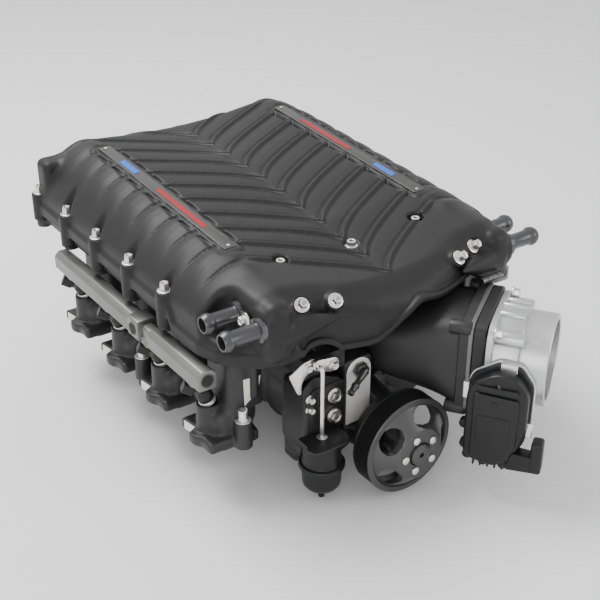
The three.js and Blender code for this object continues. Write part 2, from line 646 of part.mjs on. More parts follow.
function makeMotorCover() {
  const centre = [45, -44];
  const inner = COVER_OUTLINE.map(([s, w]) =>
    [centre[0] + (s - centre[0]) * 0.9, centre[1] + (w - centre[1]) * 0.94]);
  const plugOutline = [
    [-10, -100], [-10, -58], [4, -58], [4, -72], [20, -72], [20, -94], [4, -94], [4, -100],
  ];
  const plug = sidePrism(plugOutline, 62, 80);
  const socket = sidePrism([[-7, -97], [-7, -90], [1, -90], [1, -101], [-7, -101]], 65, 77);
  return cut(join([sidePrism(COVER_OUTLINE, COVER.u0, COVER.u1), plug]),
    [sidePrism(inner, COVER.u0 - EPS, COVER.u1 - COVER.wall), socket]);
}

function makeThrottleShaft() {
  const { shaftRadius, bladeAt, bladeRadius } = THROTTLE;
  const slot = throttlePrism(roundedRect(bladeRadius + 0.5, 9, 1, 1), bladeAt - 1.5, bladeAt + 1.5);
  const seat = crossRod(12, 64, 72, 0, bladeAt, 24);
  return join([cut(crossRod(shaftRadius, -57, 79, 0, bladeAt, 20), [slot]), seat]);
}

function makeThrottleBlade() {
  const { bladeAt, bladeRadius } = THROTTLE;
  return throttleRod(bladeRadius, bladeAt - 1.2, bladeAt + 1.2, 32);
}

function makeMotor() {
  return join([
    crossRod(MOTOR.radius - GAP, MOTOR.u0 + 4 + GAP, 58, MOTOR.w, MOTOR.s, 20),
    crossRod(5, 57, 76, MOTOR.w, MOTOR.s, 12),
  ]);
}

// Loft through sections of {centre, side, up, halfU, halfV}: rounded rectangles of any heading.
function loft(sections, power = 0.6, segments = 24) {
  const geometry = new THREE.CylinderGeometry(1, 1, 1, segments, sections.length - 1);
  const position = geometry.getAttribute('position');
  const soften = (value) => Math.sign(value) * Math.abs(value) ** power;
  for (let i = 0; i < position.count; i++) {
    const level = Math.round((0.5 - position.getY(i)) * (sections.length - 1));
    const { centre, side, up, halfU, halfV } = sections[level];
    const place = centre.clone()
      .addScaledVector(side, halfU * soften(position.getX(i)))
      .addScaledVector(up, halfV * soften(position.getZ(i)));
    position.setXYZ(i, place.x, place.y, place.z);
  }
  return toSolid(geometry);
}

function ductSections(grow) {
  const slanted = point(Math.cos(0.26), Math.sin(0.26), 0);
  const back = across.clone().negate();
  return [
    { centre: point(40, DUCT.startY, DUCT.startZ), side: AXIS.x, halfU: 57, halfV: 25 },
    { centre: point(40, -188, DUCT.startZ), side: AXIS.x, halfU: 57, halfV: 25 },
    { centre: point(44, -207, 83), side: slanted, halfU: 59, halfV: 34 },
    { centre: atThrottle(0, 6, 125), side: back, halfU: 57, halfV: 48 },
    { centre: atThrottle(0, 2, THROTTLE.ductFlangeEnd - 2), side: back, halfU: 55, halfV: 52 },
  ].map((s) => ({ ...s, up: AXIS.z, halfU: s.halfU + grow, halfV: s.halfV + grow }));
}

function makeInletDuct() {
  const { half, adapterEnd, ductFlangeEnd } = THROTTLE;
  const inner = ductSections(-DUCT.wall);
  inner[0].centre = inner[0].centre.clone().addScaledVector(AXIS.y, EPS);
  const flange = throttlePrism(roundedRect(half, half, 14, 3), adapterEnd + GAP, ductFlangeEnd);
  return cut(join([loft(ductSections(0)), flange]), [
    loft(inner), throttleRod(THROTTLE.bore + 0.6, adapterEnd - EPS, ductFlangeEnd + 12, 28),
  ]);
}

function makeAdapter() {
  const { half, flangeEnd, adapterEnd, bore } = THROTTLE;
  const plate = throttlePrism(roundedRect(half, half, 18, 3), flangeEnd + GAP, adapterEnd);
  return cut(plate, [throttleRod(bore + 0.6, flangeEnd - EPS, adapterEnd + EPS)]);
}

function makeVentTube() {
  const { radius, bore, x0, x1, y, z } = VENT;
  return ring(radius, bore, point(x0, y, z), point(x1, y, z), 14);
}

// ---------------------------------------------------------------- fuel system
function makeRail(sign) {
  const flats = RAIL.flats / 2;
  const chamfer = 5;
  const outline = [
    [flats, flats - chamfer], [flats - chamfer, flats], [chamfer - flats, flats], [-flats, flats - chamfer],
    [-flats, -flats], [flats, -flats],
  ].map(([x, z]) => new THREE.Vector2(sign * (RAIL.x + x), RAIL.z + z));
  const bar = prismY(outline, RAIL.y0, RAIL.y1);
  const portBlock = sortPair(sign * (RAIL.x - flats), sign * (RAIL.x + flats + 1));
  const solids = [bar, box(...portBlock, -54, -32, RAIL.z - 13, RAIL.z + 13)];
  const line = (y) => point(sign * RAIL.x, y, RAIL.z);
  const tools = [
    rod(RAIL.bore, line(RAIL.y0 - EPS), line(RAIL.y1 - 10), 14),
    rod(RAIL.bore, line(-43), point(sign * 230, -43, RAIL.z), 14),
  ];
  PORT_Y.forEach((y) => {
    const foot = injectorFoot(sign, y);
    const axis = injectorAxis(sign);
    solids.push(rod(9.8, along(foot, axis, 35), along(foot, axis, 52), 8));
    tools.push(rod(7.6, along(foot, axis, 30), along(foot, axis, 46), 8));
  });
  return cut(join(solids), tools);
}

function makeInjector(sign, y) {
  const profile = [
    [0, -20], [6, -20], [6, 0.4], [9.4, 0.4], [9.4, 20], [7, 23], [7, 44], [0, 44],
  ];
  const foot = injectorFoot(sign, y);
  const axis = injectorAxis(sign);
  const socket = point(sign * 0.82, -0.3, 0.48).normalize();
  const root = along(foot, axis, 12);
  return join([turned(profile, foot, axis, 10), rod(6.5, root, along(root, socket, 25), 8)]);
}

// ---------------------------------------------------------------- coolant connections
function makeBarb(sign, i) {
  const length = BARB.tipX[i] - BARB.rootX - GAP;
  const [tube, bead] = [BARB.outer - 1, BARB.outer + 0.4];
  const profile = [
    [BARB.bore, 0], [15, 0], [15, 5], [tube, 5], [bead, length - 6], [bead, length],
    [BARB.bore, length], [BARB.bore, 0],
  ];
  return turned(profile, point(sign * (BARB.rootX + GAP), BARB.y[i], BARB.z[i]), point(sign, 0, 0), 12);
}

// ---------------------------------------------------------------- bypass valve and its actuator
const bypassEye = {
  x: BYPASS.x - BYPASS.arm * Math.cos(THREE.MathUtils.degToRad(BYPASS.restDeg)),
  z: BYPASS.z + BYPASS.arm * Math.sin(THREE.MathUtils.degToRad(BYPASS.restDeg)),
};

function makeValveBody() {
  const body = box(-116, -62, -224, -177, 84, 106.7);
  return cut(body, [
    rod(BYPASS.bore, point(BYPASS.x, BYPASS.y, 80), point(BYPASS.x, BYPASS.y, 110), 24),
    rod(BYPASS.shaft + GAP, point(BYPASS.x, -226, BYPASS.z), point(BYPASS.x, -180, BYPASS.z), 12),
  ]);
}

function makeBypassBlade() {
  const { x, y, z, shaft, bore } = BYPASS;
  return join([
    rod(shaft, point(x, -234.5, z), point(x, -181, z), 12),
    rod(bore - 0.5, point(x, y, z - 1), point(x, y, z + 1), 24),
  ]);
}

// Flat link with round ends of the given radii, between two (x, z) centres.
function linkPlate(a, b, radiusA, radiusB, y0, y1) {
  const heading = Math.atan2(b.z - a.z, b.x - a.x);
  const arc = (centre, radius, from) => Array.from({ length: 9 }, (_, i) => {
    const angle = heading + from + (Math.PI * i) / 8;
    return new THREE.Vector2(centre.x + radius * Math.cos(angle), centre.z + radius * Math.sin(angle));
  });
  return prismY([...arc(b, radiusB, -Math.PI / 2), ...arc(a, radiusA, Math.PI / 2)], y0, y1);
}

function makeBypassLever() {
  const pivot = { x: BYPASS.x, z: BYPASS.z };
  return cut(linkPlate(pivot, bypassEye, 8, 6.5, -233, -230), [
    rod(BYPASS.shaft + GAP, point(pivot.x, -240, pivot.z), point(pivot.x, -225, pivot.z), 12),
    rod(ROD.radius + 1.2, point(bypassEye.x, -240, bypassEye.z), point(bypassEye.x, -225, bypassEye.z), 12),
  ]);
}

function makeStopPlate() {
  const plate = linkPlate({ x: -113, z: 101 }, { x: -127, z: 78 }, 9, 6, -227.6, -225);
  return cut(plate, [rod(3.4, point(-113, -230, 101), point(-113, -220, 101), 12)]);
}

function makeActuator() {
  const { x, y, top, ringZ, bottom, nipple, radius, ring: bead } = ACTUATOR;
  const profile = [
    [0, nipple], [3.5, nipple], [3.5, bottom], [14, bottom], [radius - 1, bottom + 5], [radius, bottom + 11],
    [radius, ringZ - 3], [bead, ringZ - 3], [bead, ringZ + 3], [radius, ringZ + 3], [radius, top - 5],
    [radius - 4, top], [ROD.radius + 1, top], [ROD.radius + 1, top - 7], [radius - 3, top - 7],
    [radius - 3, bottom + 13], [0, bottom + 13],
  ];
  return turned(profile, point(x, y, 0), AXIS.z, 18);
}

function makeActuatorRod() {
  const { x, y } = ACTUATOR;
  const { bend, plateRadius } = ROD;
  const path = new THREE.CurvePath();
  const [foot, hip] = [point(x, y, -13), point(x, y, bypassEye.z - bend)];
  const [knee, tip] = [point(x, y + bend, bypassEye.z), point(x, -228.4, bypassEye.z)];
  path.add(new THREE.LineCurve3(foot, hip));
  path.add(new THREE.QuadraticBezierCurve3(hip, point(x, y, bypassEye.z), knee));
  path.add(new THREE.LineCurve3(knee, tip));
  const section = new THREE.Shape(roundedRect(ROD.radius, ROD.radius, ROD.radius * 0.6, 1));
  const wire = new THREE.ExtrudeGeometry(section, { steps: 26, extrudePath: path, bevelEnabled: false });
  return join([toSolid(wire), rod(plateRadius, point(x, y, -15), point(x, y, -12.5), 16)]);
}

function makeBracket() {
  const { x, y, top } = ACTUATOR;
  const solids = [
    box(-116, -66, -231, -228, top + GAP, 72),
    box(x - 24, x + 24, y - 23, -228, top + GAP, top + 3.3),
  ];
  return cut(join(solids), [rod(7, point(x, y, top - 5), point(x, y, top + 10), 16)]);
}

function makeVacuumFitting() {
  const base = point(-42, -225.3, 72);
  const neck = along(base, AXIS.y, -11);
  const nipple = point(-0.86, -0.38, -0.34).normalize();
  return join([rod(8, base, neck, 6), rod(4, along(base, AXIS.y, -8), along(neck, nipple, 32), 12)]);
}

// ---------------------------------------------------------------- assembly
addPart('intercooler_lid', makeLid(), 'coatedCasting');
addPart('lid_gasket', makeGasket(), 'rubber');
addPart('intercooler_core', makeCore(), 'coreAluminium');
addPart('intake_manifold', makeManifold(), 'coatedCasting');
addPart('rotor_case', makeCase(), 'coatedCasting');
addPart('front_cover', makeFrontCover(), 'coatedCasting');
addPart('rear_cover', makeRearCover(), 'coatedCasting');
addPart('male_rotor', makeMaleRotor(), 'castAluminium');
addPart('female_rotor', makeFemaleRotor(), 'castAluminium');
const timingGears = makeTimingGears();
addPart('male_timing_gear', timingGears.male, 'brightSteel');
addPart('female_timing_gear', timingGears.female, 'brightSteel');
BEARINGS.forEach(({ name, axis, radius, y }) => {
  addPart(name, makeRotorBearing(axis, radius, y), 'brightSteel');
});
addPart('input_shaft', makeInputShaft(), 'brightSteel');
addPart('drive_coupling', ring(20, ROTOR.shaft + GAP, driveAxis(-194), driveAxis(-163), 20), 'darkFitting');
addPart('nose_bearing_front', noseRing(-249, -235), 'brightSteel');
addPart('nose_bearing_rear', noseRing(-220, -206), 'brightSteel');
addPart('shaft_seal', noseRing(-256.5, -250), 'rubber');
addPart('drive_pulley', makePulley(), 'pulleyCoat');
addPart('pulley_hub', makePulleyHub(), 'pulleyCoat');
addPart('inlet_duct', makeInletDuct(), 'coatedCasting');
addPart('throttle_adapter', makeAdapter(), 'coatedCasting');
addPart('throttle_body', makeThrottleBody(), 'castAluminium');
addPart('throttle_shaft', makeThrottleShaft(), 'brightSteel');
addPart('throttle_blade', makeThrottleBlade(), 'brightSteel');
addPart('throttle_motor', makeMotor(), 'brightSteel');
addPart('throttle_motor_cover', makeMotorCover(), 'blackPlastic');
addPart('vent_tube', makeVentTube(), 'brightSteel');
SIDES.forEach((side) => {
  addPart(`fuel_rail_${side.name}`, makeRail(side.sign), 'railAluminium');
  addPart(`badge_strip_${side.name}`, badgeBlock(side, 0, -BADGE.thickness, 0), 'badgePlate');
  PORT_Y.forEach((y, i) => {
    addPart(`injector_${side.name}_${i + 1}`, makeInjector(side.sign, y), 'blackPlastic');
  });
  ['front', 'rear'].forEach((place, i) => {
    addPart(`water_barb_${side.name}_${place}`, makeBarb(side.sign, i), 'darkFitting');
  });
});
addPart('bypass_valve_body', makeValveBody(), 'coatedCasting');
addPart('bypass_blade', makeBypassBlade(), 'brightSteel');
addPart('bypass_lever', makeBypassLever(), 'brightSteel');
addPart('bypass_stop_plate', makeStopPlate(), 'brightSteel');
addPart('actuator_can', makeActuator(), 'blackPlastic');
addPart('actuator_rod', makeActuatorRod(), 'brightSteel');
addPart('actuator_bracket', makeBracket(), 'blackBracket');
addPart('vacuum_fitting', makeVacuumFitting(), 'darkFitting');

export default assembly;
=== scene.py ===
import math

import bmesh
import bpy
import numpy as np
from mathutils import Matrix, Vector


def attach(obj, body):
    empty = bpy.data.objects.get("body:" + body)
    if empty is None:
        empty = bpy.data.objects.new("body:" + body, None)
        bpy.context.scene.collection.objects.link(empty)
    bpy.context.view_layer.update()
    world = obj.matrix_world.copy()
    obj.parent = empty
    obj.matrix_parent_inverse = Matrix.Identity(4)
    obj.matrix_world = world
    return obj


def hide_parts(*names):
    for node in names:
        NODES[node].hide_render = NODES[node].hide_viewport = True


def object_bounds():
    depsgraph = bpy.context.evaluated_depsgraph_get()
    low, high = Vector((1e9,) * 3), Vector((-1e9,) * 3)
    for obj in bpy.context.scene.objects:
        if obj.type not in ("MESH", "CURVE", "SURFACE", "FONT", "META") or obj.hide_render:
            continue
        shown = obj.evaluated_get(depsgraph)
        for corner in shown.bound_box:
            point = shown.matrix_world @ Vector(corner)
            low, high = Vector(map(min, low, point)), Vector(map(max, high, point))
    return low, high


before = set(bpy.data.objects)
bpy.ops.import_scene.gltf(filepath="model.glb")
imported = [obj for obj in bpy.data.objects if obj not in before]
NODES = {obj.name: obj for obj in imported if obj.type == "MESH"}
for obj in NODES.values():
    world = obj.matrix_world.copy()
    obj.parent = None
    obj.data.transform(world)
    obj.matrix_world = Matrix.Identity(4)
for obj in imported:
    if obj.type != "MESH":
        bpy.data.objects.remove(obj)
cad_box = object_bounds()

MM = 0.001


# ============================================================ signed-distance modelling
# Castings are modelled as a field that is negative inside the metal, in millimetres.
# Every shape function takes coordinates (x, y, z) and returns that field.

def union(a, b, k):
    """Join of two fields with a fillet of about k."""
    if k <= 0:
        return np.minimum(a, b)
    h = np.maximum(k - np.abs(a - b), 0.0) / k
    return np.minimum(a, b) - h * h * k * 0.25


def carve(a, b, k):
    """Field a with b removed, with a rounded edge of about k."""
    return -union(-a, b, k)


def overlap(a, b, k):
    """What two fields have in common."""
    return -union(-a, -b, k)


def smooth(edge0, edge1, v):
    """Soft step from 0 at edge0 to 1 at edge1."""
    t = np.clip((v - edge0) / (edge1 - edge0), 0.0, 1.0)
    return t * t * (3 - 2 * t)


def rounded_box(centre, half, radius=2.0):
    """Box with rounded edges, and the limits of the space that it fills."""
    (cx, cy, cz), (hx, hy, hz) = centre, half

    def field(x, y, z):
        qx = np.abs(x - cx) - (hx - radius)
        qy = np.abs(y - cy) - (hy - radius)
        qz = np.abs(z - cz) - (hz - radius)
        out = np.sqrt(np.maximum(qx, 0) ** 2 + np.maximum(qy, 0) ** 2 + np.maximum(qz, 0) ** 2)
        return out + np.minimum(np.maximum(np.maximum(qx, qy), qz), 0) - radius
    lo = np.subtract(centre, half)
    return field, (lo, np.add(centre, half))


def turned_box(centre, half, heading, radius=2.0):
    """Rounded box whose own x axis points along heading degrees in plan."""
    c, s = math.cos(math.radians(heading)), math.sin(math.radians(heading))
    inner, _ = rounded_box((0, 0, 0), half, radius)

    def field(x, y, z):
        dx, dy = x - centre[0], y - centre[1]
        return inner(dx * c + dy * s, dy * c - dx * s, z - centre[2])
    reach = (abs(half[0] * c) + abs(half[1] * s), abs(half[0] * s) + abs(half[1] * c), half[2])
    return field, (np.subtract(centre, reach), np.add(centre, reach))


def cylinder(a, b, r0, r1=None, radius=1.5):
    """Cylinder or cone between two points, with rounded ends."""
    a, b = np.array(a, float), np.array(b, float)
    r1 = r0 if r1 is None else r1
    length = np.linalg.norm(b - a)
    axis = (b - a) / length

    def field(x, y, z):
        px, py, pz = x - a[0], y - a[1], z - a[2]
        h = px * axis[0] + py * axis[1] + pz * axis[2]
        rx, ry, rz = px - h * axis[0], py - h * axis[1], pz - h * axis[2]
        r = np.sqrt(rx * rx + ry * ry + rz * rz)
        wall = r - (r0 + (r1 - r0) * np.clip(h / length, 0, 1)) + radius
        cap = np.maximum(-h, h - length) + radius
        out = np.sqrt(np.maximum(wall, 0) ** 2 + np.maximum(cap, 0) ** 2)
        return out + np.minimum(np.maximum(wall, cap), 0) - radius
    reach = max(r0, r1)
    return field, (np.minimum(a, b) - reach, np.maximum(a, b) + reach)


def outline_distance(points):
    """Signed distance in plan to a closed outline, negative inside."""
    pts = np.array(points, float)
    ends = np.roll(pts, -1, 0)

    def field(x, y):
        x, y = np.broadcast_arrays(x, y)
        best = np.full(x.shape, 1e9)
        inside = np.zeros(x.shape, bool)
        for (ax, ay), (bx, by) in zip(pts, ends):
            ex, ey = bx - ax, by - ay
            t = np.clip(((x - ax) * ex + (y - ay) * ey) / (ex * ex + ey * ey), 0, 1)
            best = np.minimum(best, (x - ax - t * ex) ** 2 + (y - ay - t * ey) ** 2)
            crosses = (ay > y) != (by > y)
            if ey:
                inside ^= crosses & (x < ax + (y - ay) * ex / ey)
        distance = np.sqrt(best)
        return np.where(inside, -distance, distance)
    return field


JUST_OUTSIDE = 0.05          # field value that closes the skin at the edge of the block
NEWTON_STEPS, PROBE = 4, 0.25


class Casting:
    """A list of shapes added to and cut from a base field, meshed by surface nets."""

    def __init__(self, base, low, high):
        self.base = base
        self.low, self.high = np.array(low, float), np.array(high, float)
        self.steps = []

    def add(self, shape, fillet=3.0):
        self.steps.append((union, *shape, fillet))

    def cut(self, shape, edge=1.0):
        self.steps.append((carve, *shape, edge))

    def on_grid(self, x, y, z):
        """Field on a regular grid, each shape worked out only near its own box."""
        value = np.array(np.broadcast_to(self.base(x, y, z), (x.size, y.size, z.size)), np.float32)
        for combine, shape, (low, high), k in self.steps:
            window = []
            for axis, coordinate in enumerate((x, y, z)):
                line = coordinate.ravel()
                first = np.searchsorted(line, low[axis] - k - 4)
                last = np.searchsorted(line, high[axis] + k + 4)
                window.append(slice(first, last))
            part = value[tuple(window)]
            if part.size:
                local = shape(x[window[0]], y[:, window[1]], z[:, :, window[2]])
                value[tuple(window)] = combine(part, local, k)
        return value

    def at(self, points):
        """Field at loose points."""
        x, y, z = points.T
        value = np.array(self.base(x, y, z), float)
        for combine, shape, (low, high), k in self.steps:
            near = np.all((points > np.array(low) - k - 4) & (points < np.array(high) + k + 4), axis=1)
            if near.any():
                px, py, pz = points[near].T
                value[near] = combine(value[near], shape(px, py, pz), k)
        return value

    def mesh(self, name, voxel):
        """Surface nets, then a few Newton steps that pull every point onto the surface."""
        count = np.ceil((self.high - self.low) / voxel).astype(int) + 1
        lines = [self.low[i] + voxel * np.arange(count[i]) for i in range(3)]
        x, y, z = lines[0][:, None, None], lines[1][None, :, None], lines[2][None, None, :]
        value = self.on_grid(x, y, z)
        for axis in range(3):                 # a closed skin even where the block meets its box
            edge = [slice(None)] * 3
            for side in (0, -1):
                edge[axis] = side
                value[tuple(edge)] = np.maximum(value[tuple(edge)], JUST_OUTSIDE)
        points, quads = surface_nets(value, self.low, voxel)
        for _ in range(NEWTON_STEPS):
            gradient = np.stack([
                (self.at(points + PROBE * d) - self.at(points - PROBE * d)) / (2 * PROBE) for d in np.eye(3)
            ], 1)
            steepness = np.maximum((gradient ** 2).sum(1), 0.05)
            step = -(self.at(points) / steepness)[:, None] * gradient
            reach = np.linalg.norm(step, axis=1, keepdims=True)
            points = points + step * np.minimum(1, 0.4 * voxel / np.maximum(reach, 1e-9))
        return make_mesh(name, points, quads)


def surface_nets(value, low, voxel):
    """Quads round the zero surface of a grid, one point in every cell that it crosses."""
    inside = value < 0
    shape = value.shape
    corners = [(i, j, k) for i in (0, 1) for j in (0, 1) for k in (0, 1)]
    cells = np.zeros(tuple(n - 1 for n in shape), np.uint8)
    for c in corners:
        cells += inside[c[0]:shape[0] - 1 + c[0], c[1]:shape[1] - 1 + c[1], c[2]:shape[2] - 1 + c[2]]
    active = np.argwhere((cells > 0) & (cells < 8))
    index = np.full(cells.shape, -1, np.int64)
    index[tuple(active.T)] = np.arange(len(active))
    total = np.zeros((len(active), 3))
    hits = np.zeros(len(active))
    for a in corners:
        for axis in range(3):
            if a[axis]:
                continue
            b = list(a)
            b[axis] = 1
            va = value[tuple((active + a).T)].astype(float)
            vb = value[tuple((active + b).T)].astype(float)
            crossing = (va < 0) != (vb < 0)
            t = np.where(crossing, va / np.where(va == vb, 1, va - vb), 0)
            at = np.tile(np.array(a, float), (len(active), 1))
            at[:, axis] = t
            total += at * crossing[:, None]
            hits += crossing
    points = low + voxel * (active + total / hits[:, None])
    quads = []
    for axis in range(3):
        u, v = (axis + 1) % 3, (axis + 2) % 3
        first = [slice(None)] * 3
        second = [slice(None)] * 3
        first[axis], second[axis] = slice(0, -1), slice(1, None)
        fa, fb = inside[tuple(first)], inside[tuple(second)]
        for flip in (False, True):
            edges = np.argwhere(fa & ~fb if not flip else ~fa & fb)
            ok = (edges[:, u] > 0) & (edges[:, v] > 0)
            ok &= (edges[:, u] < shape[u] - 1) & (edges[:, v] < shape[v] - 1)
            edges = edges[ok]
            du, dv = np.eye(3, dtype=int)[u], np.eye(3, dtype=int)[v]
            ring = [edges - du - dv, edges - dv, edges, edges - du]
            if flip:
                ring.reverse()
            quads.append(np.stack([index[tuple(r.T)] for r in ring], 1))
    return points, np.concatenate(quads)


def make_mesh(name, points, faces):
    """Mesh of four-sided faces from arrays of points in millimetres."""
    mesh = bpy.data.meshes.new(name)
    mesh.vertices.add(len(points))
    mesh.vertices.foreach_set("co", (np.asarray(points) * MM).astype(np.float32).ravel())
    mesh.loops.add(faces.size)
    mesh.loops.foreach_set("vertex_index", faces.astype(np.int32).ravel())
    mesh.polygons.add(len(faces))
    mesh.polygons.foreach_set("loop_start", np.arange(0, faces.size, 4, dtype=np.int32))
    mesh.polygons.foreach_set("use_smooth", np.ones(len(faces), bool))
    mesh.update(calc_edges=True)
    mesh.validate()
    obj = bpy.data.objects.new(name, mesh)
    bpy.context.scene.collection.objects.link(obj)
    return obj


# ============================================================ small mesh builders
def finish_object(name, mesh_points, faces, smooth_angle=35):
    """Object from points in millimetres, with sharp edges above the smooth angle."""
    mesh = bpy.data.meshes.new(name)
    mesh.from_pydata([Vector(p) * MM for p in mesh_points], [], faces)
    obj = bpy.data.objects.new(name, mesh)
    bpy.context.scene.collection.objects.link(obj)
    bm = bmesh.new()
    bm.from_mesh(mesh)
    bmesh.ops.remove_doubles(bm, verts=bm.verts, dist=1e-7)
    bmesh.ops.recalc_face_normals(bm, faces=bm.faces)
    for edge in bm.edges:
        if len(edge.link_faces) == 2:
            edge.smooth = edge.calc_face_angle() < math.radians(smooth_angle)
    for face in bm.faces:
        face.smooth = True
    bm.to_mesh(mesh)
    bm.free()
    return obj


def frame_axes(axis):
    """Two unit vectors square to axis."""
    axis = Vector(axis).normalized()
    side = axis.cross(Vector((0, 0, 1)))
    if side.length < 1e-3:
        side = Vector((1, 0, 0))
    side.normalize()
    return side, axis.cross(side).normalized(), axis


def lathe(name, profile, origin, axis, segments=64, shape=None):
    """Closed profile of (radius, distance along axis) turned about the axis.
    shape(angle, radius, h) scales the radius, for hexagons and square flanges."""
    u, v, w = frame_axes(axis)
    origin = Vector(origin)
    points, faces = [], []
    count = len(profile)
    for i in range(segments):
        angle = 2 * math.pi * i / segments
        for radius, h in profile:
            r = radius * (shape(angle, radius, h) if shape else 1)
            points.append(origin + u * (r * math.cos(angle)) + v * (r * math.sin(angle)) + w * h)
    for i in range(segments):
        j = (i + 1) % segments
        for k in range(count):
            m = (k + 1) % count
            if profile[k][0] < 1e-6 and profile[m][0] < 1e-6:
                continue
            faces.append((i * count + k, j * count + k, j * count + m, i * count + m))
    obj = finish_object(name, points, faces)
    clean(obj)
    return obj


def clean(obj):
    """Merges doubled points and drops flat faces left where a profile meets its axis."""
    bm = bmesh.new()
    bm.from_mesh(obj.data)
    bmesh.ops.remove_doubles(bm, verts=bm.verts, dist=2e-6)
    bmesh.ops.dissolve_degenerate(bm, edges=bm.edges, dist=1e-7)
    bmesh.ops.recalc_face_normals(bm, faces=bm.faces)
    bm.to_mesh(obj.data)
    bm.free()


def disc_profile(radius, height, edge=0.6, foot=0.0):
    """Profile of a plain round piece with rounded edges, standing on the axis."""
    e = min(edge, height / 2, radius / 2)
    return [
        (0, foot), (radius - e, foot), (radius - 0.3 * e, foot + 0.3 * e), (radius, foot + e),
        (radius, height - e), (radius - 0.3 * e, height - 0.3 * e), (radius - e, height), (0, height),
    ]


def prism(name, outline, origin, side, up, depth, bevel=1.0, segments=3):
    """Outline of (a, b) pairs in the plane of side and up, extruded along side x up."""
    side, up = Vector(side).normalized(), Vector(up).normalized()
    out = side.cross(up)
    origin = Vector(origin)
    bm = bmesh.new()
    low = [bm.verts.new((origin + side * a + up * b) * MM) for a, b in outline]
    high = [bm.verts.new((origin + side * a + up * b + out * depth) * MM) for a, b in outline]
    bm.faces.new(list(reversed(low)))
    bm.faces.new(high)
    for i in range(len(outline)):
        j = (i + 1) % len(outline)
        bm.faces.new((low[i], low[j], high[j], high[i]))
    bmesh.ops.recalc_face_normals(bm, faces=bm.faces)
    if bevel:
        edges = [e for e in bm.edges if e.calc_face_angle(0) > math.radians(25)]
        bmesh.ops.bevel(
            bm, geom=edges, offset=bevel * MM, segments=segments, profile=0.5,
            affect='EDGES', clamp_overlap=True,
        )
    for face in bm.faces:
        face.smooth = True
    for edge in bm.edges:
        edge.smooth = edge.calc_face_angle(0) < math.radians(32)
    mesh = bpy.data.meshes.new(name)
    bm.to_mesh(mesh)
    bm.free()
    obj = bpy.data.objects.new(name, mesh)
    bpy.context.scene.collection.objects.link(obj)
    return obj


def rounded_outline(half_a, half_b, radius, steps=6):
    """Rectangle with round corners about the origin."""
    points = []
    for sign_a, sign_b, start in ((1, 1, 0), (-1, 1, 90), (-1, -1, 180), (1, -1, 270)):
        for i in range(steps + 1):
            angle = math.radians(start + 90 * i / steps)
            points.append((
                sign_a * (half_a - radius) + radius * math.cos(angle),
                sign_b * (half_b - radius) + radius * math.sin(angle),
            ))
    return points


def round_polygon(points, radius, steps=5):
    """Polygon with its corners rounded."""
    result = []
    count = len(points)
    for i in range(count):
        p = Vector(points[i])
        a = Vector(points[i - 1]) - p
        b = Vector(points[(i + 1) % count]) - p
        reach = min(radius, a.length * 0.45, b.length * 0.45)
        start, end = p + a.normalized() * reach, p + b.normalized() * reach
        for k in range(steps + 1):
            t = k / steps
            result.append(tuple(start * (1 - t) ** 2 + p * 2 * t * (1 - t) + end * t * t))
    return result


def sweep(name, path, radius, sides=20, caps=True):
    """Round wire along a smooth path of points; radius is a number or a list per point."""
    pts = [Vector(p) for p in path]
    radii = radius if isinstance(radius, (list, tuple)) else [radius] * len(pts)
    tangents = []
    for i in range(len(pts)):
        a, b = pts[max(i - 1, 0)], pts[min(i + 1, len(pts) - 1)]
        tangents.append((b - a).normalized())
    u, _, _ = frame_axes(tangents[0])
    points, faces = [], []
    for p, t, r in zip(pts, tangents, radii):
        u = (u - t * u.dot(t)).normalized()
        v = t.cross(u)
        for k in range(sides):
            angle = 2 * math.pi * k / sides
            points.append(p + (u * math.cos(angle) + v * math.sin(angle)) * r)
    for i in range(len(pts) - 1):
        for k in range(sides):
            m = (k + 1) % sides
            faces.append((i * sides + k, i * sides + m, (i + 1) * sides + m, (i + 1) * sides + k))
    if caps:
        faces.append(tuple(reversed(range(sides))))
        faces.append(tuple(range((len(pts) - 1) * sides, len(pts) * sides)))
    return finish_object(name, points, faces)


def joined(name, objects):
    """One object out of several."""
    bm = bmesh.new()
    for obj in objects:
        bm.from_mesh(obj.data)
        bpy.data.objects.remove(obj)
    mesh = bpy.data.meshes.new(name)
    bm.to_mesh(mesh)
    bm.free()
    obj = bpy.data.objects.new(name, mesh)
    bpy.context.scene.collection.objects.link(obj)
    return obj


def hexagon(angle, radius, h):
    """Radius factor that turns a circle into a hexagon of the same corner radius."""
    sector = math.pi / 3
    return math.cos(math.pi / 6) / math.cos((angle % sector) - sector / 2)


def bolt(name, origin, axis, across=10.0, height=6.0, washer=8.5):
    """Flanged hexagon screw with a chamfered head, seated at origin and pointing along axis."""
    r = across / 2 / math.cos(math.pi / 6)
    parts = [lathe(name, disc_profile(washer, 1.8, 0.6), origin, axis, 40)]
    foot = Vector(origin) + Vector(axis).normalized() * 1.5
    dish = r * 0.55
    head = [
        (0, 0), (r, 0), (r, height - 1.2), (r * 0.9, height), (dish, height),
        (dish - 0.6, height - 1.0), (0, height - 1.2),
    ]

    def facets(angle, radius, h):
        return hexagon(angle, radius, h) if radius > dish + 0.1 else 1
    parts.append(lathe(name, head, foot, axis, 36, facets))
    return joined(name, parts)


def cap_screw(name, origin, axis, radius=5.0, height=6.0, washer=7.5):
    """Round socket head with a hexagon recess on a washer."""
    parts = [lathe(name, disc_profile(washer, 1.6, 0.5), origin, axis, 40)] if washer else []
    foot = Vector(origin) + Vector(axis).normalized() * (1.4 if washer else 0)
    well = radius * 0.55
    head = [
        (0, 0), (radius, 0), (radius, height - 0.7), (radius - 0.6, height), (well + 0.3, height),
        (well, height - 0.3), (well, height - 3), (0, height - 3),
    ]

    def recess(angle, r, h):
        return hexagon(angle, r, h) if r < well + 0.1 and h > 0.1 else 1
    parts.append(lathe(name, head, foot, axis, 36, recess))
    return joined(name, parts)


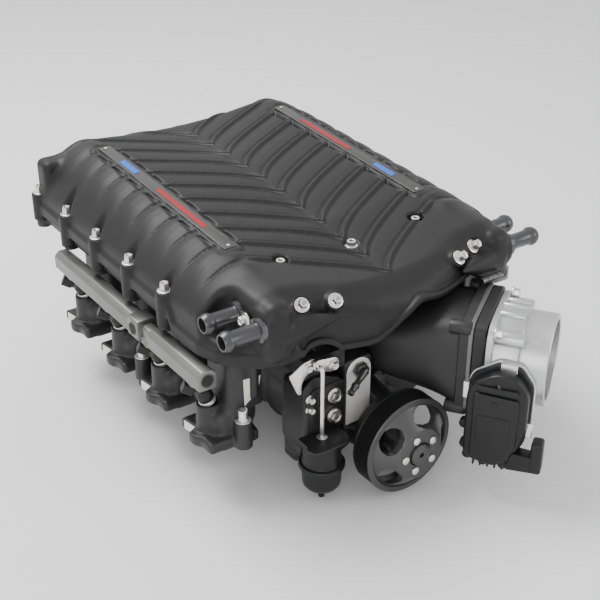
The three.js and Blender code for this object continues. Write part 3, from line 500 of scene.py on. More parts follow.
# ============================================================ materials
def surface(name, colour, metallic, roughness, vary=0.12, grain=900.0, bump=0.15, depth=0.0001,
            wear=None, gloss=0.5, brushed=None, shade=0.35):
    """Procedural finish: colour drift, painted shade in cavities, worn edges, uneven roughness and fine
    grain.
    """
    material = bpy.data.materials.new(name)
    material.use_nodes = True
    nodes, links = material.node_tree.nodes, material.node_tree.links
    shader = nodes["Principled BSDF"]
    shader.inputs["Metallic"].default_value = metallic
    shader.inputs["Specular IOR Level"].default_value = gloss
    source = nodes.new("ShaderNodeTexCoord").outputs["Object"]
    if brushed:
        mapping = nodes.new("ShaderNodeMapping")
        mapping.inputs["Scale"].default_value = brushed
        links.new(source, mapping.inputs["Vector"])
        grain_source = mapping.outputs["Vector"]
    else:
        grain_source = source

    def noise(vector, scale, detail, rough=0.5):
        node = nodes.new("ShaderNodeTexNoise")
        node.inputs["Scale"].default_value = scale
        node.inputs["Detail"].default_value = detail
        node.inputs["Roughness"].default_value = rough
        links.new(vector, node.inputs["Vector"])
        return node.outputs["Fac"]

    def ramp(value, stops):
        node = nodes.new("ShaderNodeValToRGB")
        while len(node.color_ramp.elements) < len(stops):
            node.color_ramp.elements.new(0.5)
        for element, (at, shade_value) in zip(node.color_ramp.elements, stops):
            element.position = at
            element.color = (*shade_value, 1)
        links.new(value, node.inputs["Fac"])
        return node.outputs["Color"]

    def tint(factor):
        return tuple(min(1.0, c * factor) for c in colour)

    drift = ramp(noise(source, 14, 4, 0.55), [(0.3, tint(1 - vary)), (0.7, tint(1 + vary))])
    geometry = nodes.new("ShaderNodeNewGeometry")
    # painted shade: concave spots (low pointiness) are darkened by the shade factor, as shade in creases and
    # hollows
    cavity = ramp(geometry.outputs["Pointiness"], [(0.42, (1 - shade,) * 3), (0.5, (1, 1, 1))])
    dark = nodes.new("ShaderNodeMix")
    dark.data_type = 'RGBA'
    dark.blend_type = 'MULTIPLY'
    dark.inputs["Factor"].default_value = 1.0
    links.new(drift, dark.inputs["A"])
    links.new(cavity, dark.inputs["B"])
    colour_out = dark.outputs["Result"]
    if wear:
        edge = ramp(geometry.outputs["Pointiness"], [(0.56, (0, 0, 0)), (0.66, (1, 1, 1))])
        patchy = ramp(noise(source, 120, 5, 0.7), [(0.5, (0, 0, 0)), (0.75, (1, 1, 1))])
        both = nodes.new("ShaderNodeMath")
        both.operation = 'MULTIPLY'
        links.new(edge, both.inputs[0])
        links.new(patchy, both.inputs[1])
        worn = nodes.new("ShaderNodeMix")
        worn.data_type = 'RGBA'
        worn.inputs["B"].default_value = (*wear, 1)
        links.new(both.outputs["Value"], worn.inputs["Factor"])
        links.new(colour_out, worn.inputs["A"])
        colour_out = worn.outputs["Result"]
    links.new(colour_out, shader.inputs["Base Color"])
    spread = nodes.new("ShaderNodeMapRange")
    spread.inputs["To Min"].default_value = max(0.05, roughness - 0.07)
    spread.inputs["To Max"].default_value = min(1.0, roughness + 0.07)
    links.new(noise(source, 45, 3), spread.inputs["Value"])
    links.new(spread.outputs["Result"], shader.inputs["Roughness"])
    relief = nodes.new("ShaderNodeBump")
    relief.inputs["Strength"].default_value = bump
    relief.inputs["Distance"].default_value = depth
    links.new(noise(grain_source, grain, 3, 0.6), relief.inputs["Height"])
    links.new(relief.outputs["Normal"], shader.inputs["Normal"])
    return material


FINISH = {
    "coated_casting": surface("powder_coat", (0.0145, 0.0145, 0.015), 0.0, 0.48, 0.10, 1500, 0.25, 0.0002,
                              wear=(0.08, 0.08, 0.08), gloss=0.28),
    "lower_casting": surface("lower_powder_coat", (0.021, 0.021, 0.022), 0.12, 0.45, 0.12, 1300, 0.3, 0.0002,
                             wear=(0.10, 0.10, 0.10), gloss=0.45),
    "cast_aluminium": surface("cast_aluminium", (0.58, 0.585, 0.585), 0.95, 0.34, 0.10, 700, 0.5, 0.0003),
    "machined_aluminium": surface("machined_aluminium", (0.80, 0.79, 0.76), 0.75, 0.36, 0.06, 500, 0.2,
                                  brushed=(1, 8, 1)),
    "rail_aluminium": surface("rail_aluminium", (0.20, 0.20, 0.197), 0.8, 0.40, 0.08, 500, 0.25, 0.0001,
                              brushed=(1, 0.1, 1)),
    "dark_fitting": surface("dark_fitting", (0.085, 0.085, 0.088), 0.75, 0.30, 0.12, 600, 0.15, 0.0001,
                            wear=(0.35, 0.35, 0.35)),
    "pulley_coat": surface("pulley_coat", (0.075, 0.075, 0.076), 0.6, 0.36, 0.12, 600, 0.15, 0.0001),
    "bright_steel": surface("bright_zinc", (0.80, 0.79, 0.76), 0.95, 0.27, 0.08, 500, 0.2, shade=0.55),
    "black_plastic": surface("black_plastic", (0.008, 0.008, 0.009), 0.0, 0.42, 0.15, 900, 0.3, 0.0002,
                             gloss=0.35),
    "black_bracket": surface("black_bracket", (0.016, 0.016, 0.017), 0.3, 0.42, 0.12, 900, 0.25, 0.0002),
    "rubber": surface("rubber", (0.009, 0.009, 0.009), 0.0, 0.75, 0.15, 700, 0.3, 0.0002),
    "seal_ring": surface("seal_ring", (0.46, 0.40, 0.03), 0.0, 0.55, 0.10, 500, 0.1, 0.0001),
    "badge_plate": surface("badge_plate", (0.09, 0.09, 0.088), 0.75, 0.36, 0.10, 700, 0.25, 0.0001,
                           brushed=(6, 0.25, 1)),
    "badge_red": surface("badge_red", (0.31, 0.003, 0.006), 0.1, 0.40, 0.08, 400, 0.1, 0.0001),
    "badge_blue": surface("badge_blue", (0.012, 0.12, 0.56), 0.1, 0.35, 0.08, 400, 0.1, 0.0001),
    "milled_face": surface("milled_face", (0.78, 0.77, 0.75), 0.35, 0.50, 0.05, 500, 0.2, 0.0001),
    "flange_grey": surface("flange_grey", (0.16, 0.16, 0.158), 0.7, 0.40, 0.10, 500, 0.2, 0.0001),
    "core_aluminium": surface("core_aluminium", (0.45, 0.46, 0.46), 0.85, 0.45, 0.08, 500, 0.2, 0.0001),
}


def place(obj, slot, body="root", replaces=(), finish=None):
    """Gives a new piece its finish and its body, and hides the CAD nodes that it stands for."""
    obj.data.materials.clear()
    obj.data.materials.append(FINISH[finish or slot])
    for face in obj.data.polygons:
        face.material_index = 0
    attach(obj, body)
    if replaces:
        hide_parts(*replaces)
    return obj


def keep_node(node, finish):
    """A CAD node stays, with a better finish in its own material slots."""
    for material_slot in NODES[node].material_slots:
        material_slot.link = 'OBJECT'
        material_slot.material = FINISH[finish]


def place_lower(obj, replaces=()):
    """A piece of the lower castings, in their satin black coat."""
    return place(obj, "coated_casting", finish="lower_casting", replaces=replaces)


def place_milled(obj):
    """A bare face that was milled through the coat."""
    return place(obj, "machined_aluminium", finish="milled_face")


# ============================================================ driving dimensions, mm
SIDES = (("left", -1), ("right", 1))
PORT_Y = (150, 50, -50, -150)
BOLT_Y = [236 - 81 * k for k in range(5)]
BOLT_X = 203
# chevron ribs: their number, the first vertex, and how far back they sweep at the crests
RIBS, RIB_FIRST, RIB_PITCH, RIB_SWEEP, RIB_REACH, RIB_CURVE = 11, 181.0, 40.2, 80.0, 123.0, 0.65
CREST_X, CREST_Z = 132.5, 212
SHOULDER_X, SKIRT_X = 140, 207
VALLEY_Y = [-256, -221, -179, -134, -101, -66, -21, 18, 56, 100, 245]
VALLEY_Z = [166, 179, 182, 187, 192, 194, 200, 204, 207, 210, 210]
BADGE_Y, BADGE_HALF, BADGE_WIDTH, BADGE_SLOPE = 36.5, 148.75, 16.0, 0.07
NOSE_SCREWS = ((118, -222.6, 176), (85, -236, 176.7))
TOP_SCREW_X, TOP_SCREW_Y = 94.4, -150.2
# coolant connections: place, y, z and the x of the tip
BARBS = (("front", -223, 164, 215), ("rear", -183, 165, 213))
BARB_ROOT = 167.6
UP = Vector((0, 0, 1))
# side and up axes of a prism that faces forwards
FACING = ((1, 0, 0), (0, 0, 1))
FORWARD = (0, -1, 0)
# axes of the two rotors, x and z
MALE, FEMALE = (-20, -2), (58, 22)


# ============================================================ lid
def lid_plan(side=205, rear=245):
    """Outline of the lid seen from above, as a distance."""
    half = [
        (0, rear), (side - 14, rear), (side - 4, rear - 4), (side, rear - 14), (side, -160),
        (side - 7, -186), (side - 20, -206), (side - 38, -221), (146, -228), (111, -225),
        (76, -239), (37, -251), (0, -255),
    ]
    return outline_distance(half + [(-x, y) for x, y in half[-2:0:-1]])


LID_PLAN = lid_plan()


def rib_relief(x, y):
    """Height that the chevron ribs and the pillows between them add to the lid."""
    ax = np.abs(x)
    sweep_back = RIB_SWEEP * (np.minimum(ax, RIB_REACH + 6) / RIB_REACH) ** RIB_CURVE
    phase = (RIB_FIRST - (y - sweep_back)) / RIB_PITCH
    nearest = np.clip(np.round(phase), 0, RIBS - 1)
    e = (phase - nearest) * RIB_PITCH
    # square to the rib, the distance is shorter than along y
    slope = RIB_CURVE * RIB_SWEEP / RIB_REACH * (np.maximum(ax, 6) / RIB_REACH) ** (RIB_CURVE - 1)
    e = e / np.sqrt(1 + np.where(ax < RIB_REACH, slope, 0) ** 2)
    inner = smooth(140, 118, ax)
    outer = smooth(118, 140, ax) * smooth(198, 168, ax)
    bead = 2.3 * np.exp(-(e / 2.5) ** 4)
    flanks = 1.2 * np.exp(-((e - 4.9) / 1.6) ** 2) + 1.5 * np.exp(-((e + 4.9) / 1.6) ** 2)
    crown = 1.1 * (1 - np.clip(np.abs(e) / 17.0, 0, 1) ** 2)
    pillow = 2.8 * np.clip(np.abs(e) / 14.0, 0, 1) ** 0.8 - 0.8
    groove = -1.5 * np.exp(-(e / 1.5) ** 2)
    relief = inner * (bead - flanks - 0.5 * crown) + outer * (pillow + groove)
    # a short spur runs forward from each vertex
    spur = np.clip(e / 17.0, 0, 1)
    along = smooth(-0.02, 0.05, spur) * (1 - spur)
    relief = relief + 2.6 * along * np.exp(-(ax / (2.6 + 4 * (1 - spur))) ** 2)
    rear_end = RIB_FIRST + RIB_SWEEP
    field_end = smooth(rear_end + 6, rear_end - 8, y) * smooth(-236, -214, y - 0.45 * ax)
    return relief * field_end


def lid_top(x, y):
    """Height of the upper face: a valley along the middle, two crests and round shoulders."""
    x, y = np.broadcast_arrays(x, y)
    ax = np.abs(x)
    across = np.clip(ax / CREST_X, 0, 1)
    valley = np.interp(y, VALLEY_Y, VALLEY_Z)
    crest = np.clip(CREST_Z + BADGE_SLOPE * (y - BADGE_Y), 190, 220)
    crown = valley + (crest - valley) * across ** 1.7
    out = np.clip((ax - SHOULDER_X) / (SKIRT_X - SHOULDER_X), 0, 1)
    drop = (crown - 150) * (1 - (1 - out ** 1.6) ** (1 / 1.6))
    back = np.clip((y - 221) / 26, 0, 1)
    drop = drop + 24 * (1 - np.sqrt(1 - back ** 2 * 0.98))
    edge = np.clip(1 + LID_PLAN(x, y) / 30, 0, 1) * smooth(-185, -215, y)
    drop = drop + 22 * (1 - np.sqrt(1 - edge ** 2 * 0.98))
    pad = pad_field(x, y)
    on_pad = smooth(1.6, -0.8, pad)
    relief = (rib_relief(x, y) - 1.4 * smooth(9, 2, pad)) * (1 - on_pad) + 0.6 * on_pad
    return crown - drop + relief


def pad_field(x, y):
    """Distance in plan to the raised pads under the two name plates."""
    margin, radius = 3.5, 4
    qx = np.abs(np.abs(x) - CREST_X) - (BADGE_WIDTH / 2 + margin - radius)
    qy = np.abs(y - BADGE_Y + 2) - (BADGE_HALF + 6 - radius)
    outside = np.sqrt(np.maximum(qx, 0) ** 2 + np.maximum(qy, 0) ** 2)
    return outside + np.minimum(np.maximum(qx, qy), 0) - radius


def lid_underside(x, y):
    """Lower edge: level along the sides, deeper round the nose, raised over rod and inlet duct."""
    x, y = np.broadcast_arrays(x, y)
    deep = smooth(-98, -112, y)
    level = 133 - 16 * deep
    nose = smooth(-186, -198, y)
    arch = np.sqrt(np.maximum(24 ** 2 - (x + 99) ** 2, 0)) - 14
    level = level + nose * np.maximum(arch, 0)
    duct = smooth(-52, 24, x) * smooth(176, 158, x) * nose
    return level + duct * (27 + 8 * smooth(60, 10, x))


def lid_base(x, y, z):
    """Body of the lid with the lip along its lower edge."""
    wall = LID_PLAN(x, y)
    field = overlap(wall, (z - lid_top(x, y)) * 0.92, 5)
    under = lid_underside(x, y)
    front = smooth(-202, -212, y) * smooth(126, 118, np.abs(x))
    reach = 3.2 + 1.8 * front
    half = 7 - 2.8 * front
    lip = overlap(wall - reach, np.abs(z - (under + half)) - half, 3)
    field = union(field, lip, 7) * (1 - front) + union(field, lip, 1.2) * front
    return overlap(field, under - z, 1.5)


def hollow_lid(lid):
    """Cavity for the core; the corners that carry the coolant connections stay solid."""
    inner = lid_plan(182, 226)

    def cavity(x, y, z):
        hollow = np.maximum(np.maximum(inner(x, y), z - (lid_top(x, y) - 12)), -204 - y)
        return np.maximum(hollow, np.minimum(np.abs(x) - 146, -148 - y))
    lid.cut((cavity, ((-196, -210, 100), (196, 236, 216))), 3)


def add_screw_columns(lid, sign):
    """Columns of the side screws, with a tapering flute in the wall above each."""
    for y in BOLT_Y:
        foot = 118 if abs(y) < 200 else 124
        lid.add(cylinder((sign * BOLT_X, y, foot), (sign * BOLT_X, y, 160), 10.5), 5)
        low, high = (sign * (BOLT_X + 3.5), y, 160.2), (sign * (BOLT_X - 18), y, 204)
        lid.cut(cylinder(low, high, 9.5, 2.5, 1), 3)


def add_coolant_corner(lid, sign):
    """Recessed front corner with the seats of the coolant connections and their blister."""
    lid.cut(rounded_box((sign * 207, -224, 192), (38.5, 62, 52), 16), 9)
    lid.add(rounded_box((sign * 150, -204, 156), (17.5, 34, 34), 15), 5)
    lid.add(cylinder((sign * 140, -217, 161), (sign * 168.5, -217, 161), 22, None, 4), 4)
    lid.add(cylinder((sign * 146, -221, 152), (sign * 84, -246, 164), 22, 1.5, 1), 3)
    for _, y, z, _ in BARBS:
        lid.cut(cylinder((sign * 150, y, z), (sign * 180, y, z), 7.5, None, 0.5), 0.5)


def nose_direction(sign):
    """Way in which the screws of the nose point."""
    return Vector((sign * 0.25, -1, 0.9)).normalized()


def add_screw_seats(lid, sign):
    """Pocket of the screw on the upper face and the seats of the nose screws."""
    bottom, top = (sign * TOP_SCREW_X, TOP_SCREW_Y, 184), (sign * TOP_SCREW_X, -149, 215)
    lid.cut(cylinder(bottom, top, 9, 11, 1), 1.5)
    out = nose_direction(sign)
    for x, y, z in NOSE_SCREWS:
        seat = Vector((sign * x, y, z))
        lid.add(cylinder(seat - out * 16, seat - out * 0.4, 9.5, None, 2), 6)
        lid.cut(cylinder(seat - out * 0.2, seat + out * 20, 9, 12, 1), 2)


def add_slots(lid, sign):
    """Narrow slots on both sides of the name-plate pads, between the ribs."""
    for k in range(RIBS - 1):
        y = RIB_FIRST - RIB_PITCH * (k + 0.5) + RIB_SWEEP * 0.985
        if abs(y - BADGE_Y) > BADGE_HALF:
            continue
        for x in (CREST_X - 15.5, CREST_X + 15.5):
            z = float(lid_top(np.array(sign * x), np.array(y)))
            lid.cut(rounded_box((sign * x, y, z), (1.7, 13, 3.2), 1.5), 0.8)


def build_lid(voxel):
    """The whole lid with its ribs, screw columns, corners, slots and name-plate pockets."""
    lid = Casting(lid_base, (-219, -261, 112), (219, 250, 226))
    hollow_lid(lid)
    for _, sign in SIDES:
        add_screw_columns(lid, sign)
        # block at the rear corner
        lid.add(rounded_box((sign * 184, 228, 174 - 3 * sign), (18, 16, 25 - 3 * sign), 9), 9)
        add_coolant_corner(lid, sign)
        add_screw_seats(lid, sign)
        add_slots(lid, sign)
        lid.cut(badge_recess(sign), 0.5)
    lid.cut(cylinder((0, -152, 181.5), (0, -151, 205), 8.5, 11, 1), 3)
    return lid.mesh("intercooler_lid_shell", voxel)


def badge_recess(sign):
    """Shallow pocket for a name plate, sloping with the crest."""
    inner, _ = rounded_box((0, 0, 6), (BADGE_WIDTH / 2 + 0.6, BADGE_HALF + 0.6, 8.2), 0.8)

    def field(x, y, z):
        dz = z - CREST_Z - BADGE_SLOPE * (y - BADGE_Y)
        return inner(x - sign * CREST_X, y - BADGE_Y, dz)
    lo = (sign * CREST_X - 9, BADGE_Y - 150, 196)
    return field, (lo, (sign * CREST_X + 9, BADGE_Y + 150, 238))


VOXEL = 2.1
lid = place(build_lid(VOXEL), "coated_casting", replaces=["intercooler_lid"])


# ============================================================ name plates
def build_badges():
    """Plain brushed strips with a rivet at each end, a red stripe and a short blue block."""
    slope = math.atan(BADGE_SLOPE)
    along = Vector((0, math.cos(slope), math.sin(slope)))
    normal = Vector((0, -math.sin(slope), math.cos(slope)))
    thickness, lean = 2.2, 1.2
    across = (1, 0, 0)
    for name, sign in SIDES:
        centre = Vector((sign * CREST_X, BADGE_Y, CREST_Z))
        outline = rounded_outline(BADGE_WIDTH / 2, BADGE_HALF, 1.5)
        foot = centre - normal * thickness
        plate = prism(f"badge_plate_{name}", outline, foot, across, along, thickness, 0.5)
        place(plate, "badge_plate", replaces=[f"badge_strip_{name}"])
        for label, half, start, end, finish in (
            ("stripe", 3.3, -96, 12, "badge_red"), ("block", 4.2, 62, 100, "badge_blue"),
        ):
            corners = [(-half, start - lean), (half, start + lean), (half, end + lean), (-half, end - lean)]
            # the strip on the right is turned end for end
            points = round_polygon([(-sign * a, -sign * b) for a, b in corners], 0.8, 3)
            seat = centre - normal * 0.02
            place(prism(f"badge_{label}_{name}", points, seat, across, along, 0.35, 0.1, 1), finish)
        rivets = [
            lathe("rivet", disc_profile(2.0, 0.9, 0.5), centre + along * (end * 143.5), normal, 24)
            for end in (-1, 1)
        ]
        place(joined(f"badge_rivets_{name}", rivets), "bright_steel")


build_badges()


# ============================================================ screws of the lid
def build_lid_screws():
    """Flanged screws along the sides and the nose, and three socket screws in the upper face."""
    for name, sign in SIDES:
        side = [bolt("side", (sign * BOLT_X, y, 159.6), (0, 0, 1), 9.5, 9, 8.2) for y in BOLT_Y]
        place(joined(f"lid_side_screws_{name}", side), "bright_steel")
        out = nose_direction(sign)
        nose = [
            bolt("nose", Vector((sign * x, y, z)) - out * 0.6, out, 9.5, 9, 8.2) for x, y, z in NOSE_SCREWS
        ]
        place(joined(f"lid_nose_screws_{name}", nose), "bright_steel")
        seat = (sign * TOP_SCREW_X, TOP_SCREW_Y, 183.8)
        place(cap_screw(f"lid_top_screw_{name}", seat, (0, 0.02, 1), 5.2, 6, 7.6), "bright_steel")
    place(cap_screw("lid_top_screw_centre", (0, -152, 181.3), (0, 0, 1), 5.2, 6, 7.6), "bright_steel")


build_lid_screws()


# ============================================================ coolant connections
def build_barbs():
    """Two hose connections a side; their flange lobes meet under one shared screw."""
    lobe = [(-12, -9), (14, -8), (17.5, 0), (14, 8), (-12, 9)]
    for name, sign in SIDES:
        for spot, y, z, tip in BARBS:
            root, length = (sign * BARB_ROOT, y, z), tip - BARB_ROOT
            profile = [
                (7.5, 0), (13.5, 0), (13.5, 5.2), (12.9, 5.8), (9.6, 6.6), (9.1, 8), (9.1, length - 13),
                (9.2, length - 12), (10.9, length - 8.5), (11.1, length - 6.5), (10.8, length - 4),
                (9.4, length - 0.8), (9.0, length), (7.9, length), (7.5, length - 0.5),
            ]
            tube = lathe("tube", profile, root, (sign, 0, 0), 56)
            turn = 1 if spot == "front" else -1
            outline = round_polygon([(turn * a, turn * b) for a, b in lobe], 4)
            flange = prism("flange", outline, root, (0, 1, 0), (0, 0, 1), sign * 5.0, 0.6)
            fitting = joined(f"coolant_barb_{name}_{spot}", [tube, flange])
            place(fitting, "dark_fitting", replaces=[f"water_barb_{name}_{spot}"])
        screw = bolt(f"coolant_screws_{name}", (sign * 172.4, -203, 168), (sign, 0, 0), 8.5, 7, 7.6)
        place(screw, "bright_steel")


build_barbs()


# ============================================================ intake manifold
INJECTOR_FOOT, INJECTOR_TOP = (191.6, 48), (207.5, 87)
# x, y and height of the mounting bosses
MOUNT_BOSSES = ((169.5, -186, 34), (192, 0, 30), (169.5, 190, 34))
CASE_ROOM = 104
FLAT_TURN = math.radians(8)


def injector_line(sign, y):
    """Foot and top of an injector, and the direction between them."""
    foot = Vector((sign * INJECTOR_FOOT[0], y, INJECTOR_FOOT[1]))
    top = Vector((sign * INJECTOR_TOP[0], y, INJECTOR_TOP[1]))
    return foot, top, (top - foot).normalized()


def add_runner(manifold, sign, y):
    """One intake runner with its foot and its injector boss."""
    manifold.add(rounded_box((sign * 161, y, 72), (18, 30, 58), 15), 9)
    manifold.add(rounded_box((sign * 176, y, 22), (21, 27, 20), 14), 14)
    manifold.add(rounded_box((sign * 180, y, 7), (30, 34, 7), 5), 5)
    manifold.add(cylinder((sign * 191, y, 0), (sign * 192, y, 47), 14.5, 13, 1), 4)
    manifold.add(cylinder((sign * 196, y, 0), (sign * 196, y, 13), 18.5, None, 2), 3)
    manifold.add(rounded_box((sign * 150, y, 88), (3.5, 34, 34), 3), 6)


def cut_runner(manifold, sign, y):
    """Port in the foot, bore of the injector and the milled flat on the outer side."""
    manifold.cut(rounded_box((sign * 180, y, -4), (15, 27, 18), 8), 1)
    foot, _, line = injector_line(sign, y)
    manifold.cut(cylinder(foot - line * 6, foot + line * 20, 9.9, None, 0.5), 1)
    heading = -sign * math.degrees(FLAT_TURN)
    manifold.cut(turned_box((sign * 214, y + 19, 5), (9, 13, 16), heading, 1), 0.5)


def build_manifold(voxel):
    """Left and right half of the intake manifold, each with its seats and seals."""
    plan = lid_plan(201, 241)

    def plate(x, y, z):
        wall = np.maximum(plan(x, y), -192 - y)
        return overlap(wall, np.abs(z - 125) - 5.8, 3)
    for name, sign in SIDES:
        def wing(x, y, z):
            return np.maximum(plate(x, y, z), 96 - sign * x)
        low, high = sorted((sign * 96, sign * 218))
        manifold = Casting(wing, (low - 3, -202, -2), (high + 3, 246, 134))
        for y in BOLT_Y:
            manifold.add(cylinder((sign * 201, y, 114), (sign * 201, y, 130.9), 9.5), 3)
        manifold.add(rounded_box((sign * 158, 0, 6.5), (9, 186, 6.5), 3), 4)
        for y in PORT_Y:
            add_runner(manifold, sign, y)
        manifold.add(rounded_box((sign * 154, -171, 64), (13.5, 10, 22), 2), 3)
        for x, y, top in MOUNT_BOSSES:
            manifold.add(cylinder((sign * x, y, 0), (sign * x, y, top), 10.2, 9.6, 1), 4)
        for y in PORT_Y:
            cut_runner(manifold, sign, y)
        manifold.cut(rounded_box((0, 0, 125), (CASE_ROOM, 160, 20), 10), 1)
        half = manifold.mesh(f"intake_manifold_{name}", voxel)
        place_lower(half, ["intake_manifold"] if sign < 0 else [])
        build_manifold_details(name, sign)


def build_manifold_details(name, sign):
    """Mounting seats and screws, milled faces, and the seals in the joint face."""
    seats = [
        lathe("seat", disc_profile(9.3, 0.8, 0.3), (sign * x, y, top - 0.2), (0, 0, 1), 40)
        for x, y, top in MOUNT_BOSSES
    ]
    place(joined(f"mount_seats_{name}", seats), "machined_aluminium")
    screws = [
        cap_screw("screw", (sign * x, y, top + 0.6), (0, 0, 1), 5.6, 13, 0) for x, y, top in MOUNT_BOSSES
    ]
    place(joined(f"mount_screws_{name}", screws), "bright_steel")
    side = Vector((-math.sin(FLAT_TURN) * sign, -math.cos(FLAT_TURN), 0))
    outline = rounded_outline(9.5, 5.6, 1.5)
    flats = [
        prism("flat", outline, (sign * 204.8, y + 19, 6.8), side, UP, -0.9 * sign, 0.2, 1) for y in PORT_Y
    ]
    place_milled(joined(f"milled_flats_{name}", flats))
    # milled face beside the front runner
    corners = [(142.5, 79), (146.5, 60), (164, 47), (165, 81)]
    place_milled(prism(f"milled_web_{name}", corners, (0, -180.8, 0), (sign, 0, 0), UP, 0.8 * sign, 0.3, 2))
    seals = []
    for y in PORT_Y:
        ring = [(sign * 180 + a, y + b, 0.4) for a, b in rounded_outline(18.5, 30.5, 10)]
        seals.append(sweep("seal", ring + ring[:2], 1.4, 10, False))
    place(joined(f"port_seals_{name}", seals), "rubber")


build_manifold(VOXEL)


# ============================================================ rotor case and its covers
def chambers(grow, y0, y1):
    """The two round rotor chambers, with their walls grown outwards."""
    male = cylinder((MALE[0], y0, MALE[1]), (MALE[0], y1, MALE[1]), 55 + grow, None, 2)
    female = cylinder((FEMALE[0], y0, FEMALE[1]), (FEMALE[0], y1, FEMALE[1]), 50 + grow, None, 2)
    return male, female


def build_case(voxel):
    """Case of the rotors: two ribbed drums under a flat top, open inside."""
    (male, _), (female, _) = chambers(6.8, -175, 150)

    def base(x, y, z):
        return union(male(x, y, z), female(x, y, z), 12)
    case = Casting(base, (-100, -178, -68), (120, 153, 108))
    case.add(rounded_box((13, -12, 62), (91, 163, 42), 4), 10)
    for y in (-140, -100, -60, -20, 20, 60, 100, 135):
        for (x, z), radius in ((MALE, 64.5), (FEMALE, 59.5)):
            case.add(cylinder((x, y - 2.2, z), (x, y + 2.2, z), radius, None, 1.5), 3)
    for (x, z), radius in ((MALE, 55.8), (FEMALE, 50.8)):
        case.cut(cylinder((x, -132, z), (x, 112, z), radius, None, 1), 1)
    case.cut(rounded_box((42, -120, 79), (46, 70, 17), 4), 1)
    case.cut(rounded_box((15, 28, 80), (75, 72, 36), 6), 1)
    for x, z in (MALE, FEMALE):
        case.cut(cylinder((x, -190, z), (x, 170, z), 24, None, 1), 1)
    place_lower(case.mesh("rotor_case_shell", voxel * 1.15), ["rotor_case"])


def build_rear_cover(voxel):
    """Rounded cover over the timing gears, with its screws."""
    (male, _), (female, _) = chambers(8.6, 150.3, 182)

    def rear_base(x, y, z):
        return union(male(x, y, z), female(x, y, z), 14)
    rear = Casting(rear_base, (-90, 148, -70), (122, 185, 86))
    for chamber in chambers(2.6, 140, 176):
        rear.cut(chamber, 1)
    screws = []
    circles = ((MALE, 62, (75, 120, 165, 210, 255)), (FEMALE, 57, (-75, -30, 15, 60, 100)))
    for centre, radius, angles in circles:
        for angle in angles:
            a = math.radians(angle)
            x, z = centre[0] + radius * math.cos(a), centre[1] + radius * math.sin(a)
            if z < -62:
                continue
            rear.add(cylinder((x, 151, z), (x, 166, z), 7, None, 1.5), 4)
            screws.append(bolt("s", (x, 165.8, z), (0, 1, 0), 8, 5, 6.2))
    place_lower(rear.mesh("rear_cover_shell", voxel), ["rear_cover"])
    place(joined("rear_cover_screws", screws), "bright_steel")


build_case(VOXEL)
build_rear_cover(VOXEL)


def build_front_cover(voxel):
    """Front cover with the drive nose, the bypass housing and a milled pocket."""
    x, z = MALE
    nose, _ = cylinder((x, -185, z), (x, -175.3, z), 50, None, 2)
    cover = Casting(nose, (-122, -262, -56), (60, -173, 96))
    cover.add(cylinder((FEMALE[0], -185, FEMALE[1]), (FEMALE[0], -175.3, FEMALE[1]), 30, None, 2), 6)
    cover.add(cylinder((x, -256, z), (x, -180, z), 33, 42, 2), 8)
    cover.add(rounded_box((-90, -203, 30), (25, 24, 40), 6), 6)
    cover.add(rounded_box((-42, -204, 40), (19, 21, 46), 5), 5)
    cover.add(rounded_box((-70, -190, -10), (42, 13, 30), 6), 8)
    cover.add(cylinder((-104, -186, -18), (-104, -214, -18), 10, None, 2), 6)
    cover.add(turned_box((-66, -206, -22), (34, 5, 26), 20, 3), 8)
    for angle in (40, 100, 160, 220, 280, 340):
        a = math.radians(angle)
        sx, sz = x + 44 * math.cos(a), z + 44 * math.sin(a)
        cover.add(cylinder((sx, -190, sz), (sx, -176, sz), 7, None, 1), 3)
    cover.cut(cylinder((x, -270, z), (x, -160, z), 23.6, None, 0.5), 0.5)
    # milled pocket with a round top beside the inlet
    cover.cut(rounded_box((-42, -230, 46), (17, 6.4, 44), 1), 0.5)
    cover.cut(rounded_box((-103, -232, 52), (9, 12, 14), 3), 2)
    place_lower(cover.mesh("front_cover_shell", voxel), ["front_cover"])
    half = 16.6
    outline = [(half * math.cos(math.pi * i / 16), 70 + half * math.sin(math.pi * i / 16)) for i in range(17)]
    outline += [(-half, 4), (half, 4)]
    place_milled(prism("milled_pocket_face", outline, (-42, -223.4, 0), (1, 0, 0), UP, 1.2, 0.3, 2))


build_front_cover(VOXEL)


# ============================================================ inlet duct and throttle
THETA = math.radians(34.7)
OUTWARD = Vector((math.sin(THETA), -math.cos(THETA), 0))
ACROSS = Vector((-math.cos(THETA), -math.sin(THETA), 0))
MOUTH = Vector((134.3, -343.2, 80.8))
CORNERS = ((-1, -1), (-1, 1), (1, -1), (1, 1))
# raised rounds on the throttle body: across, up, radius, and the stations of their ends
THROTTLE_BOSSES = (
    (-26, 50.5, 4.2, 60, 31), (-8, 54, 3.6, 60, 31), (12, 53.5, 4.2, 60, 31), (38, 39, 9, 64, 26),
    (-44, 40, 6, 60, 31), (-50, -25, 6, 60, 31),
)
COVER_OUTLINE = [
    (48, 21), (75, 4), (80, -10), (80, -92), (71, -100), (40, -106), (16, -78), (9, -47), (9, -2), (24, 19),
]


def at_throttle(u, w, s):
    """Point in the throttle's own frame: across, up, and inwards from the mouth."""
    return MOUTH + ACROSS * u + UP * w - OUTWARD * s


def catmull(points, per_span):
    """Smooth interpolation through a list of number lists."""
    pts = [points[0]] + list(points) + [points[-1]]
    result = []
    for i in range(1, len(pts) - 2):
        for k in range(per_span):
            t = k / per_span
            row = []
            for a, b, c, d in zip(pts[i - 1], pts[i], pts[i + 1], pts[i + 2]):
                row.append(0.5 * (2 * b + (c - a) * t + (2 * a - 5 * b + 4 * c - d) * t * t
                                  + (3 * b - a - 3 * c + d) * t ** 3))
            result.append(row)
    result.append(list(points[-1]))
    return result


